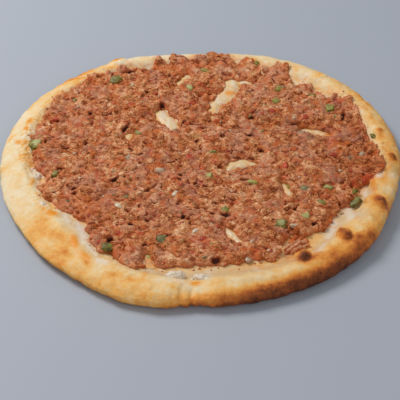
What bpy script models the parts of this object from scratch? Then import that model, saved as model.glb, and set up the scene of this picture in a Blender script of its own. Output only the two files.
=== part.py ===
"""A manakish: a hand-stretched round of flat bread, about 28 cm across, baked under a
layer of spiced minced meat with chopped pepper and onion in it.

The bread is one turned rim profile, pulled out of round by hand, with blisters on its
crust and bubbles of dough that show through gaps in the meat. The meat is one crumbly
layer that follows the dough. The larger pieces of pepper and onion, and one lump of meat
that fell on the bare dough, are pieces of their own with a hair's gap round them.

Metres, +Z up. The origin is the middle of the bread's underside and -Y is the near side.
"""

import math
import random

import bmesh
import bpy
from mathutils import Matrix, Vector, noise
from mathutils.bvhtree import BVHTree

MM = 0.001
GAP = 0.3 * MM

# The bread as it would be if it were turned: radius, rim and the thin bed in its middle.
BREAD_RADIUS = 141.5 * MM
BED_HEIGHT = 6 * MM
RIM_HEIGHT = 13 * MM
WIDEST_HEIGHT = 5.5 * MM
FOOT_INSET = 8 * MM
FLAT_RADIUS = 104 * MM
RIM_SLOPE = 6 * MM  # the least width of the rim's inner slope
TURN_STEPS = 120
INNER_STEPS = 4
OUTER_STEPS = 5
FOOT_STEPS = 2

# Where the middle of the turned round stands: pulling it out of round moved its box.
TURN_AXIS = (1.5 * MM, 2.34 * MM)

# How the hands pulled it out of round. Each lobe is (bearing in degrees anticlockwise
# from +X, amount in mm, half width in degrees).
RADIUS_LOBES = ((155, 3, 18), (118, 1.2, 7), (93, -5, 11), (38, 2.5, 16), (-16, -5.5, 13),
                (-60, -2, 22), (-109, 4.8, 9), (-135, 1.2, 7), (-148, -0.8, 8))
CREST_INSET = 13.5 * MM
CREST_LOBES = ((90, -4, 35), (45, -1, 20), (-145, 7, 18))
BED_RADIUS = 118 * MM
BED_LOBES = ((135, 4, 25), (-45, -7, 22), (-90, -6, 30), (-140, -15, 18))
HEIGHT_LOBES = ((95, -1.5, 22), (40, 1.8, 25), (-60, 0.5, 20), (-140, -1.5, 20), (180, -1.5, 35))
LUMP_HEIGHT = 0.7 * MM
LUMP_LENGTH = 17 * MM

# The near edge has a pinched fold, and the right edge curls up off the table.
PINCH_BEARING = -92.3
PINCH_HALF_WIDTH = 2.6
PINCH_DEPTH = 3.6 * MM
PINCH_PULL = 1.6 * MM
CURL_BEARING = -24
CURL_HALF_WIDTH = 13
CURL_HEIGHT = 3.2 * MM
CURL_START = 112 * MM

# Blisters on the crust: x, y, length, width, height in mm and bearing of the length.
BLISTERS = ((65.5, -100, 11.5, 10.5, 3.6, 0), (93.5, -80, 9.5, 9.5, 3.2, 0),
            (117, -46, 16, 12, 2.6, -35), (105, -83, 17, 12, 1.2, 50), (-67, 119, 15, 11, 1.6, 20),
            (89, 101, 9, 7, 1.0, -35), (114, 76, 11, 8, 1.0, -55), (-97, -80, 22, 13, 0.8, -50))
BLISTER_ROOT = 0.7 * MM  # how deep a blister's oval goes into the crust

# Gaps in the meat where a bubble of dough shows: the points of a stroke, each with the
# half width there, all in mm.
GAPS = (((-13, 107, 3.0), (-19, 98, 3.4)),
        ((20.5, 100, 5.6), (20, 92, 5.8), (17, 83.5, 6.4), (12.5, 78, 5.8), (8, 71, 4.4),
         (7, 62.5, 4.2)),
        ((-31.6, 59, 4.6), (-28.5, 53, 5.4), (-25, 47, 5.2), (-22.5, 42.5, 4.6)),
        ((17.5, -7, 2.4), (21.5, 0, 4.4), (27, 1.5, 5.8), (34, 0.5, 3.6)),
        ((72.5, 41.5, 3.0), (81, 39.5, 3.4), (88, 37.5, 4.0)),
        ((55.5, -22, 2.2), (60.5, -31, 2.4)),
        ((16, -69, 2.4), (20, -75, 3.0), (25, -82, 2.0)),
        ((-54, 33, 2.6), (-55.5, 27, 2.6)),
        ((-36, -96, 2.0), (-34.5, -103, 2.8), (-33, -112, 4.6)),
        ((28.5, 102, 2.4), (33, 100, 2.8)))
BUBBLE_HEIGHT = 3 * MM
BUBBLE_FULL_WIDTH = 8 * MM  # a narrower bubble rises less
BUBBLE_OVERRUN = 0.9
BUBBLE_ROOT = 0.4 * MM

# The meat: a ragged round about its own middle, with lobes as above.
MEAT_MIDDLE = (2 * MM, 12 * MM)
MEAT_RADIUS = 119 * MM
MEAT_LOBES = ((175, 7, 11), (152, 6, 5), (136, 4, 4.5), (119, -2, 4), (113.5, -8, 2),
              (108.5, 3, 1.5), (105.8, -6, 1.4), (101.7, 1.5, 2), (97.5, -6.5, 2.2),
              (78.5, -6, 2.2), (69, -5.5, 3.5), (61, -1.5, 3), (53, -12, 2.4), (43, -7.5, 4),
              (35, -1, 3), (26, 2, 6), (12, -1.5, 3), (0, 1.2, 4), (-9, 7.5, 4), (-20, -8.5, 4),
              (-35, -12, 4.5), (-47, -8, 4), (-56.5, -15.5, 3.2), (-63, -7, 3.5),
              (-68, 5, 2), (-74, -2, 3), (-81, -2, 3), (-90, -2, 3.5), (-102, 4, 4),
              (-112.5, 14, 4), (-123.5, 9.5, 4), (-138, -8, 4.5), (-156, 3.5, 5),
              (-166, -5, 3.5), (-178, -4, 2))
RAGGED = 2.5 * MM
RAGGED_LENGTH = 7 * MM
MEAT_THICKNESS = 4.6 * MM
MEAT_EDGE_THICKNESS = 1.6 * MM
MEAT_EDGE_WIDTH = 8 * MM
MEAT_THINNING = 0.35
MEAT_BURIED = 2.2 * MM
MEAT_FLOOR = 3 * MM
CRUMB = 4.7 * MM
CRUMB_SPAN = 300 * MM
CRUMB_MARGIN = 2.2
CRUMB_SHIFT = 0.2
CRUMB_PEAK = (0.5 * MM, 1.7 * MM)
CRUMB_DIP = (0.2 * MM, 1.1 * MM)
CRUMB_FADE = (1 * MM, 3 * MM)  # crumbs start this far outside the meat's edge, and over this width
SEED = 28
CLUMP_HEIGHT = 0.9 * MM
CLUMP_LENGTH = 16 * MM

# Deep cracks between clumps of meat: x, y, length in mm and bearing.
CRACKS = ((-63, -22, 12, 50), (34, 52, 6, 40), (68, 45, 9, 0), (-31, 68, 7, 60),
          (-58, 108, 9, 20), (-60, -84, 9, 50), (9, -102, 7, 0), (36, -101, 7, 20),
          (101, 55, 10, 80), (-13, -59, 8, 80))
CRACK_DEPTH = 2.2 * MM
CRACK_HALF_WIDTH = 2.2 * MM

# Small pieces that are baked into the meat: x, y and size in mm.
PEPPER_BITS = ((-120, 8, 6), (-96, 67, 6), (-11, 85.5, 7), (-47, 29, 6), (0, 107, 6),
               (56, 85.5, 7), (80, 79, 7), (53, 71, 6), (40, 115, 6), (121.5, 28.5, 5),
               (6, 8, 6), (34, -25, 7), (59, -22, 6), (70, -30, 7), (15, -54, 6),
               (68, -59, 6), (103, -30, 6), (86, -30, 6), (81, -44, 6), (4, -18, 6),
               (-27, -86, 7), (-52, -43, 7), (-30.5, -97, 5), (-103, -19, 6))
ONION_BITS = ((-56, -55, 6), (-19.5, -38, 6), (-4.5, -77, 7), (61.5, -70, 7), (28, -100, 6),
              (68, 32, 8), (111, 6, 6), (-53, 0, 6))
BIT_WIDTH = (0.65, 0.9)
BIT_THICKNESS = 0.62
BIT_TILT = 0.35
BIT_STANDS = 0.9 * MM

# Larger pieces that lie loose: name, x, y, length, width, thickness in mm and bearing.
PEPPER_PIECES = (("pepper_left", -119.5, 16.5, 9, 8, 3.6, 80),
                 ("pepper_back", -67, 96, 10, 7, 3.8, 55),
                 ("pepper_front", -62.5, -95, 9, 6.5, 3.4, 10),
                 ("pepper_right", 104.5, -40.5, 10, 5, 3.4, 62),
                 ("pepper_near", 52.5, -67.5, 7.5, 6.5, 3.6, 75),
                 ("pepper_far", 92.5, 64.5, 9, 6, 3.6, 80))
ONION_PIECES = (("onion_front", -17, -118, 13, 7.5, 3.6, 5),
                ("onion_valley", 0, -119, 11, 6, 2.8, -15),
                ("onion_left", -116, -17.5, 9, 5.5, 2.8, 70))
MEAT_LUMP = ("meat_lump", 61.5, -87, 19, 8, 4.6, 36)
PEPPER_SINKS = 1.6 * MM
PEPPER_CLEARANCE = 0.8 * MM
PEPPER_SAG = 0.22
CORNER_SOFTENING = {2: 0.88, 3: 0.72}
LUMP_UNEVENNESS = 0.28


def around(bearing, base, lobes):
    """A size that swells and shrinks round the bread: a base and its smooth lobes."""
    size = base
    for where, amount, half_width in lobes:
        away = (bearing - where + 180) % 360 - 180
        size += amount * MM * math.exp(-0.5 * (away / half_width) ** 2)
    return size


def ease(value):
    """0 to 1 with a soft start and a soft stop."""
    value = min(max(value, 0.0), 1.0)
    return value * value * (3 - 2 * value)


def bump(bearing, where, half_width):
    """1 at one bearing, fading to 0 on both sides of it."""
    away = (bearing - where + 180) % 360 - 180
    return math.exp(-0.5 * (away / half_width) ** 2)


def rim_sizes(bearing):
    """Radius of the bed's edge, the crest and the outer edge at a bearing, and the height."""
    outer = around(bearing, BREAD_RADIUS, RADIUS_LOBES)
    crest = outer - around(bearing, CREST_INSET, CREST_LOBES)
    bed = around(bearing, BED_RADIUS, BED_LOBES)
    height = around(bearing, RIM_HEIGHT, HEIGHT_LOBES)
    height -= PINCH_DEPTH * bump(bearing, PINCH_BEARING, PINCH_HALF_WIDTH)
    return min(bed, crest - RIM_SLOPE), crest, outer, height


def curl(bearing, radius):
    """How far the bread has lifted off the table at a place."""
    _, _, outer, _ = rim_sizes(bearing)
    reach = ease((radius - CURL_START) / (outer - CURL_START))
    return CURL_HEIGHT * reach * bump(bearing, CURL_BEARING, CURL_HALF_WIDTH)


def dough_top(x, y):
    """Height of the bread's upper face at a place."""
    radius = math.hypot(x, y)
    bearing = math.degrees(math.atan2(y, x))
    bed, crest, outer, height = rim_sizes(bearing)
    if radius < crest:
        rise = (1 - math.cos(math.pi * min(max((radius - bed) / (crest - bed), 0), 1))) / 2
        top = BED_HEIGHT + (height - BED_HEIGHT) * rise
    else:
        out = min((radius - crest) / (outer - crest), 1.0)
        top = WIDEST_HEIGHT + (height - WIDEST_HEIGHT) * math.sqrt(1 - out * out)
    return top + curl(bearing, radius)


def turned_profile():
    """(kind, share) of each point of the rim's section, from the bed over the crest to the foot."""
    points = [("inner", step / INNER_STEPS) for step in range(INNER_STEPS)]
    points += [("outer", step / OUTER_STEPS) for step in range(OUTER_STEPS)]
    points += [("foot", step / FOOT_STEPS) for step in range(FOOT_STEPS + 1)]
    points.append(("flat", 0.0))
    return points


def profile_place(kind, share, bearing):
    """(radius, height) of a point of the section once the rim is stretched at a bearing."""
    bed, crest, outer, height = rim_sizes(bearing)
    pull = PINCH_PULL * bump(bearing, PINCH_BEARING, PINCH_HALF_WIDTH)
    if kind == "inner":
        rise = (1 - math.cos(math.pi * share)) / 2
        return bed + (crest - bed) * share, BED_HEIGHT + (height - BED_HEIGHT) * rise
    if kind == "outer":
        turn = math.radians(90 * share)
        radius = crest + (outer - pull - crest) * math.sin(turn)
        return radius, WIDEST_HEIGHT + (height - WIDEST_HEIGHT) * math.cos(turn)
    if kind == "foot":
        turn = math.radians(90 * share)
        radius = outer - pull - FOOT_INSET * (1 - math.cos(turn))
        return radius, WIDEST_HEIGHT * (1 - math.sin(turn))
    return FLAT_RADIUS, 0.0


def link(obj, collection):
    collection.objects.link(obj)
    return obj


def mesh_object(name, mesh_data, collection, material):
    """Puts finished mesh work into an object of its own."""
    mesh = bpy.data.meshes.new(name)
    mesh_data.normal_update()
    mesh_data.to_mesh(mesh)
    mesh_data.free()
    obj = link(bpy.data.objects.new(name, mesh), collection)
    obj.data.materials.append(material)
    return obj


def bake_modifiers(obj):
    """Turns an object's modifiers into plain mesh."""
    graph = bpy.context.evaluated_depsgraph_get()
    mesh = bpy.data.meshes.new_from_object(obj.evaluated_get(graph))
    obj.modifiers.clear()
    old = obj.data
    obj.data = mesh
    bpy.data.meshes.remove(old)


def combine(obj, tool, operation):
    """One Boolean with another object, which is used up."""
    modifier = obj.modifiers.new(operation.lower(), "BOOLEAN")
    modifier.operation = operation
    modifier.solver = "EXACT"
    modifier.object = tool
    bake_modifiers(obj)
    bpy.data.objects.remove(tool)


def combine_all(obj, tools, operation):
    """One Boolean with a whole collection, whose objects are used up."""
    modifier = obj.modifiers.new(operation.lower(), "BOOLEAN")
    modifier.operation = operation
    modifier.solver = "EXACT"
    modifier.operand_type = "COLLECTION"
    modifier.collection = tools
    bake_modifiers(obj)
    for tool in list(tools.objects):
        bpy.data.objects.remove(tool)


def copy_of(obj, collection, lift):
    """A copy with its own mesh, moved straight up."""
    other = obj.copy()
    other.data = obj.data.copy()
    other.data.transform(Matrix.Translation((0, 0, lift)))
    return link(other, collection)


def keep_largest(obj):
    """Drops loose scraps and keeps the one large body."""
    work = bmesh.new()
    work.from_mesh(obj.data)
    left = set(work.verts)
    bodies = []
    while left:
        start = left.pop()
        body = {start}
        edge = [start]
        while edge:
            vert = edge.pop()
            for line in vert.link_edges:
                other = line.other_vert(vert)
                if other in left:
                    left.discard(other)
                    body.add(other)
                    edge.append(other)
        bodies.append(body)
    bodies.sort(key=len)
    scraps = [vert for body in bodies[:-1] for vert in body]
    bmesh.ops.delete(work, geom=scraps, context="VERTS")
    work.to_mesh(obj.data)
    work.free()


def dome(name, x, y, base, length, width, height, bearing, collection, material):
    """A low oval dome, sunk to its middle at a base height. Sizes in metres."""
    work = bmesh.new()
    bmesh.ops.create_uvsphere(work, u_segments=10, v_segments=4, radius=0.5)
    place = (Matrix.Translation((x, y, base)) @ Matrix.Rotation(math.radians(bearing), 4, "Z")
             @ Matrix.Diagonal((length, width, 2 * height, 1)))
    bmesh.ops.transform(work, matrix=place, verts=work.verts)
    return mesh_object(name, work, collection, material)


def make_bread(parts, tools, material):
    """The turned rim, stretched by hand, closed by its flat bed and its flat underside."""
    section = bmesh.new()
    points = turned_profile()
    last = None
    for kind, share in points:
        radius, height = profile_place(kind, share, 0)
        vert = section.verts.new((radius, 0, height))
        if last:
            section.edges.new((last, vert))
        last = vert
    bread = mesh_object("bread", section, parts, material)
    screw = bread.modifiers.new("turn", "SCREW")
    screw.steps = TURN_STEPS
    screw.render_steps = TURN_STEPS
    screw.use_merge_vertices = True
    screw.merge_threshold = 0.00001
    bake_modifiers(bread)

    work = bmesh.new()
    work.from_mesh(bread.data)
    places = [profile_place(kind, share, 0) for kind, share in points]
    for vert in work.verts:
        radius, height = math.hypot(vert.co.x, vert.co.y), vert.co.z
        nearest = min(range(len(places)), key=lambda index: math.hypot(
            places[index][0] - radius, places[index][1] - height))
        kind, share = points[nearest]
        bearing = math.degrees(math.atan2(vert.co.y, vert.co.x))
        radius, height = profile_place(kind, share, bearing)
        turn = math.radians(bearing)
        x, y = radius * math.cos(turn), radius * math.sin(turn)
        lump = noise.noise(Vector((x, y, 0)) / LUMP_LENGTH) * LUMP_HEIGHT
        inside = min(height / RIM_HEIGHT, 1.0) if kind in ("outer", "foot") else share
        vert.co = (x, y, height + lump * inside + curl(bearing, radius))
    bmesh.ops.holes_fill(work, edges=[edge for edge in work.edges if edge.is_boundary])
    bmesh.ops.recalc_face_normals(work, faces=work.faces)
    work.to_mesh(bread.data)
    work.free()

    add_blisters(bread, tools, material)
    add_bubbles(bread, tools, material)
    return bread


def add_blisters(bread, tools, material):
    """Blisters stand on the crust wherever the oven caught it."""
    for number, (x, y, length, width, height, bearing) in enumerate(BLISTERS):
        x, y = x * MM, y * MM
        dome(f"blister_{number}", x, y, dough_top(x, y) - BLISTER_ROOT, length * MM, width * MM,
             height * MM + BLISTER_ROOT, bearing, tools, material)
    combine_all(bread, tools, "UNION")


def add_bubbles(bread, tools, material):
    """Dough that has risen through the gaps in the meat: low domes along each stroke."""
    for number, stroke in enumerate(GAPS):
        for leg, (start, end) in enumerate(zip(stroke, stroke[1:])):
            run = Vector((end[0] - start[0], end[1] - start[1])) * MM
            x, y = (start[0] + end[0]) / 2 * MM, (start[1] + end[1]) / 2 * MM
            width = (start[2] + end[2]) * MM
            bearing = math.degrees(math.atan2(run.y, run.x))
            rise = BUBBLE_HEIGHT * min(width / BUBBLE_FULL_WIDTH, 1.0)
            dome(f"bubble_{number}_{leg}", x, y, dough_top(x, y) - BUBBLE_ROOT,
                 run.length + BUBBLE_OVERRUN * width, width, rise + BUBBLE_ROOT, bearing, tools,
                 material)
    combine_all(bread, tools, "UNION")


def meat_reach(x, y):
    """Distance from a place to the meat's ragged edge, positive inside it."""
    across, along = x - MEAT_MIDDLE[0], y - MEAT_MIDDLE[1]
    bearing = math.degrees(math.atan2(along, across))
    ragged = noise.noise(Vector((x, y, 0.05)) / RAGGED_LENGTH) * RAGGED
    return around(bearing, MEAT_RADIUS, MEAT_LOBES) + ragged - math.hypot(across, along)


def gap_reach(x, y):
    """Distance from a place to the nearest gap's edge, negative inside the gap."""
    nearest = 1.0
    for stroke in GAPS:
        for start, end in zip(stroke, stroke[1:]):
            first, run = Vector(start[:2]) * MM, Vector((end[0] - start[0], end[1] - start[1])) * MM
            share = min(max((Vector((x, y)) - first).dot(run) / run.length_squared, 0), 1)
            half_width = (start[2] + (end[2] - start[2]) * share) * MM
            nearest = min(nearest, (Vector((x, y)) - first - run * share).length - half_width)
    return nearest


def crack_depth(x, y):
    """How deep the cracks between clumps are at a place."""
    depth = 0.0
    for crack_x, crack_y, length, bearing in CRACKS:
        turn = math.radians(bearing)
        away = Vector((x - crack_x * MM, y - crack_y * MM))
        along = away.x * math.cos(turn) + away.y * math.sin(turn)
        across = away.y * math.cos(turn) - away.x * math.sin(turn)
        beyond = max(abs(along) - length * MM / 2, 0)
        spread = math.hypot(beyond, across) / CRACK_HALF_WIDTH
        depth = max(depth, CRACK_DEPTH * math.exp(-spread * spread))
    return depth


def meat_top(x, y):
    """Height of the meat without its crumbs, or just under the dough where there is none."""
    reach = min(meat_reach(x, y), gap_reach(x, y))
    if reach < 0:
        return dough_top(x, y) - MEAT_BURIED
    full = ease(reach / MEAT_EDGE_WIDTH)
    dough = dough_top(x, y)
    middle = MEAT_THICKNESS - (dough - BED_HEIGHT) * MEAT_THINNING
    thickness = MEAT_EDGE_THICKNESS + (middle - MEAT_EDGE_THICKNESS) * full
    clump = noise.noise(Vector((x, y, 0.02)) / CLUMP_LENGTH) * CLUMP_HEIGHT * full
    return dough + GAP + thickness + clump - crack_depth(x, y) * full


def make_meat(parts, tools, bread, material, pepper, onion):
    """A lattice of crumbs: every third point stands up and the ones between lie low."""
    draw = random.Random(SEED)
    row_step = CRUMB * math.sqrt(3) / 2
    columns, rows = int(CRUMB_SPAN / CRUMB), int(CRUMB_SPAN / row_step)
    work = bmesh.new()
    bmesh.ops.create_grid(work, x_segments=columns, y_segments=rows, size=1.0)
    outside = []
    for vert in work.verts:
        column = round((vert.co.x + 1) / 2 * columns)
        row = round((vert.co.y + 1) / 2 * rows)
        x = (column - columns / 2 + 0.5 * (row % 2)) * CRUMB
        y = (row - rows / 2) * row_step + MEAT_MIDDLE[1]
        x += draw.uniform(-CRUMB_SHIFT, CRUMB_SHIFT) * CRUMB
        y += draw.uniform(-CRUMB_SHIFT, CRUMB_SHIFT) * CRUMB
        is_peak = (column - (row - row % 2) // 2 - row) % 3 == 0
        crumb = draw.uniform(*CRUMB_PEAK) if is_peak else -draw.uniform(*CRUMB_DIP)
        reach = min(meat_reach(x, y), gap_reach(x, y))
        vert.co = (x, y, meat_top(x, y) + crumb * ease((reach + CRUMB_FADE[0]) / CRUMB_FADE[1]))
        if meat_reach(x, y) < -CRUMB_MARGIN * CRUMB:
            outside.append(vert)
    bmesh.ops.delete(work, geom=outside, context="VERTS")
    bmesh.ops.triangulate(work, faces=work.faces, quad_method="SHORT_EDGE")
    skin = bmesh.ops.extrude_face_region(work, geom=work.faces[:])
    for item in skin["geom"]:
        if isinstance(item, bmesh.types.BMVert):
            item.co.z = MEAT_FLOOR
    bmesh.ops.recalc_face_normals(work, faces=work.faces)
    meat = mesh_object("minced_meat", work, parts, material)

    for number, (x, y, size) in enumerate(PEPPER_BITS):
        baked_in_bit(f"pepper_bit_{number}", x * MM, y * MM, size * MM, draw, tools, pepper)
    for number, (x, y, size) in enumerate(ONION_BITS):
        baked_in_bit(f"onion_bit_{number}", x * MM, y * MM, size * MM, draw, tools, onion)
    combine_all(meat, tools, "UNION")
    combine(meat, copy_of(bread, tools, GAP), "DIFFERENCE")
    keep_largest(meat)
    return meat


def baked_in_bit(name, x, y, size, draw, collection, material):
    """A small angular piece, half sunk in the meat."""
    work = bmesh.new()
    bmesh.ops.create_icosphere(work, subdivisions=1, radius=0.5)
    turn = Matrix.Rotation(draw.uniform(0, math.pi), 4, "Z") @ Matrix.Rotation(
        draw.uniform(-BIT_TILT, BIT_TILT), 4, "X")
    shape = Matrix.Diagonal((size, size * draw.uniform(*BIT_WIDTH), size * BIT_THICKNESS, 1))
    place = Matrix.Translation((x, y, meat_top(x, y) + BIT_STANDS)) @ turn @ shape
    bmesh.ops.transform(work, matrix=place, verts=work.verts)
    return mesh_object(name, work, collection, material)


def loose_piece(name, x, y, base, length, width, thickness, bearing, grow, collection, material):
    """A diced piece with softened corners and a slight bend. grow enlarges it for a pocket."""
    work = bmesh.new()
    bmesh.ops.create_cube(work, size=1.0)
    bmesh.ops.subdivide_edges(work, edges=work.edges, cuts=1, use_grid_fill=True)
    for vert in work.verts:
        out = vert.co * 2
        soften = CORNER_SOFTENING.get(round(abs(out.x) + abs(out.y) + abs(out.z)), 1.0)
        vert.co *= soften
        vert.co.z -= PEPPER_SAG * out.x * out.x * soften
    size = Matrix.Diagonal((length + 2 * grow, width + 2 * grow, thickness + 2 * grow, 1))
    place = (Matrix.Translation((x, y, base + thickness / 2))
             @ Matrix.Rotation(math.radians(bearing), 4, "Z") @ size)
    bmesh.ops.transform(work, matrix=place, verts=work.verts)
    return mesh_object(name, work, collection, material)


def lump(name, x, y, base, length, width, height, bearing, grow, seed, collection, material):
    """An uneven lump that lies on the dough. grow enlarges it for a pocket."""
    work = bmesh.new()
    bmesh.ops.create_icosphere(work, subdivisions=2, radius=0.5)
    for vert in work.verts:
        vert.co *= 1 + LUMP_UNEVENNESS * noise.noise(vert.co * 4 + Vector((seed, 0, 0)))
    size = Matrix.Diagonal((length + 2 * grow, width + 2 * grow, 2 * height + 2 * grow, 1))
    place = (Matrix.Translation((x, y, base)) @ Matrix.Rotation(math.radians(bearing), 4, "Z")
             @ size)
    bmesh.ops.transform(work, matrix=place, verts=work.verts)
    return mesh_object(name, work, collection, material)


def top_under(tree, x, y):
    """Height of the highest face of a mesh at a place."""
    hit = tree.ray_cast(Vector((x, y, 0.1)), Vector((0, 0, -1)))
    return hit[0].z if hit[0] else BED_HEIGHT


def make_loose_pieces(parts, tools, bread, meat, materials):
    """Pieces of their own: each is cut clear of the dough, and the meat clear of each."""
    tree = BVHTree.FromObject(meat, bpy.context.evaluated_depsgraph_get())
    for name, x, y, length, width, thickness, bearing in PEPPER_PIECES:
        x, y = x * MM, y * MM
        size = (length * MM, width * MM, thickness * MM)
        base = max(top_under(tree, x, y) - PEPPER_SINKS, dough_top(x, y) + PEPPER_CLEARANCE)
        piece = loose_piece(name, x, y, base, *size, bearing, 0, parts, materials["pepper"])
        combine(piece, copy_of(bread, tools, GAP), "DIFFERENCE")
        pocket = loose_piece(name + "_pocket", x, y, base, *size, bearing, GAP, tools,
                             materials["pepper"])
        combine(meat, pocket, "DIFFERENCE")
    lumps = [(piece, materials["onion"]) for piece in ONION_PIECES]
    lumps.append((MEAT_LUMP, materials["meat"]))
    for seed, ((name, x, y, length, width, height, bearing), material) in enumerate(lumps):
        x, y = x * MM, y * MM
        size = (length * MM, width * MM, height * MM)
        base = dough_top(x, y)
        piece = lump(name, x, y, base, *size, bearing, 0, seed, parts, material)
        combine(piece, copy_of(bread, tools, GAP), "DIFFERENCE")
        pocket = lump(name + "_pocket", x, y, base, *size, bearing, GAP, seed, tools, material)
        combine(meat, pocket, "DIFFERENCE")
    keep_largest(meat)


def surface(name, colour, roughness):
    material = bpy.data.materials.new(name)
    material.use_nodes = True
    shader = material.node_tree.nodes["Principled BSDF"]
    shader.inputs["Base Color"].default_value = (*colour, 1.0)
    shader.inputs["Roughness"].default_value = roughness
    return material


def new_collection(name):
    collection = bpy.data.collections.new(name)
    bpy.context.scene.collection.children.link(collection)
    return collection


def build():
    for obj in list(bpy.data.objects):
        bpy.data.objects.remove(obj)
    parts = new_collection("manakish")
    tools = new_collection("cutters")
    materials = {"crust": surface("baked_dough", (0.72, 0.47, 0.22), 0.6),
                 "meat": surface("minced_meat", (0.37, 0.14, 0.08), 0.55),
                 "pepper": surface("green_pepper", (0.16, 0.24, 0.05), 0.4),
                 "onion": surface("onion", (0.75, 0.68, 0.52), 0.4)}
    bread = make_bread(parts, tools, materials["crust"])
    meat = make_meat(parts, tools, bread, materials["meat"], materials["pepper"],
                     materials["onion"])
    make_loose_pieces(parts, tools, bread, meat, materials)
    for obj in parts.objects:
        obj.data.transform(Matrix.Translation((*TURN_AXIS, 0)))
        obj.data.shade_smooth()
        obj.data.set_sharp_from_angle(angle=math.radians(35))
    bpy.data.collections.remove(tools)


build()
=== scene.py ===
# %% [markdown]
# # A manakish
# A manakish is a round of yeast dough, stretched by hand and baked under a thin layer of spiced
# minced meat. The frame already holds it as plain solids: the bread, the layer of meat, and the
# larger pieces of pepper and onion. This notebook makes each of them again with the finish of
# the real food. It works in millimetres and in degrees anticlockwise from +X, about the axis
# that the round would turn on, because a baker thinks of it that way too. Only the last step of
# each mesh turns millimetres into Blender's metres.

# %% Load the solids that everything has to fit
import math

import bmesh
import bpy
import numpy as np
from mathutils import Matrix, Vector, noise


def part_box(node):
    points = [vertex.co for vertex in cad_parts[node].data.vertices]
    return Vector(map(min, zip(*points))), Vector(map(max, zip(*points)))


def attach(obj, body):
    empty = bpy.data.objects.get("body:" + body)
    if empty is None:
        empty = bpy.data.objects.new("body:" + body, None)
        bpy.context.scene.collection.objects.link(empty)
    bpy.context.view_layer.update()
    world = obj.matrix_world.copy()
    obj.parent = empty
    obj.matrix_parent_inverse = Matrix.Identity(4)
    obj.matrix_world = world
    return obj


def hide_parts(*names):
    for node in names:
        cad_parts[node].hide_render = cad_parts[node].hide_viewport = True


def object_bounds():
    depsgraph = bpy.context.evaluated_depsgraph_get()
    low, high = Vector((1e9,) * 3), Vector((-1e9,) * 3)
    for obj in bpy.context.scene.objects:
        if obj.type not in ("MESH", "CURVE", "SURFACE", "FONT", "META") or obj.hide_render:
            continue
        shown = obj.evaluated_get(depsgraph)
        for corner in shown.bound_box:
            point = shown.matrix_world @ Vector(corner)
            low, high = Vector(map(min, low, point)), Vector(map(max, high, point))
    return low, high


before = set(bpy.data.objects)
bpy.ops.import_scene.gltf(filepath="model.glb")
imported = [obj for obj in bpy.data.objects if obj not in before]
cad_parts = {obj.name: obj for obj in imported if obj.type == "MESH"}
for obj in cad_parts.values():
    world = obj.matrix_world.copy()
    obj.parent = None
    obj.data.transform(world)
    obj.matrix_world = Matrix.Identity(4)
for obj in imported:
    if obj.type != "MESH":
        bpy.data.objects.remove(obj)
cad_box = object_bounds()
box_low, box_high = (np.array(corner) * 1000 for corner in cad_box)
print("solids:", sorted(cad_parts))
print("box in mm:", box_low.round(1), box_high.round(1))

# %% [markdown]
# ## The shape of the dough
# The rim is one section, turned round the bread and pulled out of round. A size at a bearing is
# a base plus a few smooth lobes, which is how a hand-stretched edge behaves: it swells and
# shrinks slowly. A long list of points would do it too, but nobody could adjust that by eye.
# NumPy works on all the points of a mesh at once, so every function here takes whole arrays.

# %% Sizes of the turned round
MM = 0.001
TURN_AXIS = (1.5, 2.34)  # where the turning axis stands in the frame
BREAD_RADIUS = 141.5
BED_HEIGHT = 6
RIM_HEIGHT = 13
WIDEST_HEIGHT = 5.5
FOOT_INSET = 8
RIM_SLOPE = 6
RADIUS_LOBES = ((155, 3, 18), (118, 1.2, 7), (93, -5, 11), (38, 2.5, 16), (-16, -5.5, 13),
                (-60, -2, 22), (-109, 4.8, 9), (-135, 1.2, 7), (-148, -0.8, 8))
CREST_INSET = 13.5
CREST_LOBES = ((90, -4, 35), (45, -1, 20), (-145, 7, 18))
BED_RADIUS = 118
BED_LOBES = ((135, 4, 25), (-45, -7, 22), (-90, -6, 30), (-140, -15, 18))
HEIGHT_LOBES = ((95, -1.5, 22), (40, 1.8, 25), (-60, 0.5, 20), (-140, -1.5, 20), (180, -1.5, 35))
PINCH_BEARING, PINCH_HALF_WIDTH, PINCH_DEPTH, PINCH_PULL = -92.3, 2.6, 3.6, 1.6
CURL_BEARING, CURL_HALF_WIDTH, CURL_HEIGHT, CURL_START = -24, 13, 3.2, 112
LUMP_HEIGHT, LUMP_LENGTH = 0.7, 17  # low lumps all over the dough
print("about", 2 * BREAD_RADIUS, "mm across, with a rim of", RIM_HEIGHT, "mm")


# %% Smooth changes and noise
def bump(bearing, where, half_width):
    """1 at one bearing, fading to 0 on both sides of it."""
    away = (bearing - where + 180) % 360 - 180
    return np.exp(-0.5 * (away / half_width) ** 2)


def around(bearing, base, lobes):
    """A size that swells and shrinks round the bread."""
    return base + sum(amount * bump(bearing, where, width) for where, amount, width in lobes)


def ease(value):
    """0 to 1 with a soft start and a soft stop."""
    value = np.clip(value, 0, 1)
    return value * value * (3 - 2 * value)


def polar(x, y):
    """Radius and bearing of places."""
    return np.hypot(x, y), np.degrees(np.arctan2(y, x))


def at_bearing(radius, bearing):
    """The place at a radius and a bearing."""
    return radius * np.cos(np.radians(bearing)), radius * np.sin(np.radians(bearing))


def waves(x, y, length, layer=0.0):
    """Smooth noise from about -1 to 1, whose hills are about `length` mm apart.

    Each effect takes its own layer of the noise, so that no two share their hills."""
    places = np.stack(np.broadcast_arrays(x, y, layer), axis=-1) / length
    values = [noise.noise(place) for place in places.reshape(-1, 3).tolist()]
    return np.array(values).reshape(places.shape[:-1])


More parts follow.
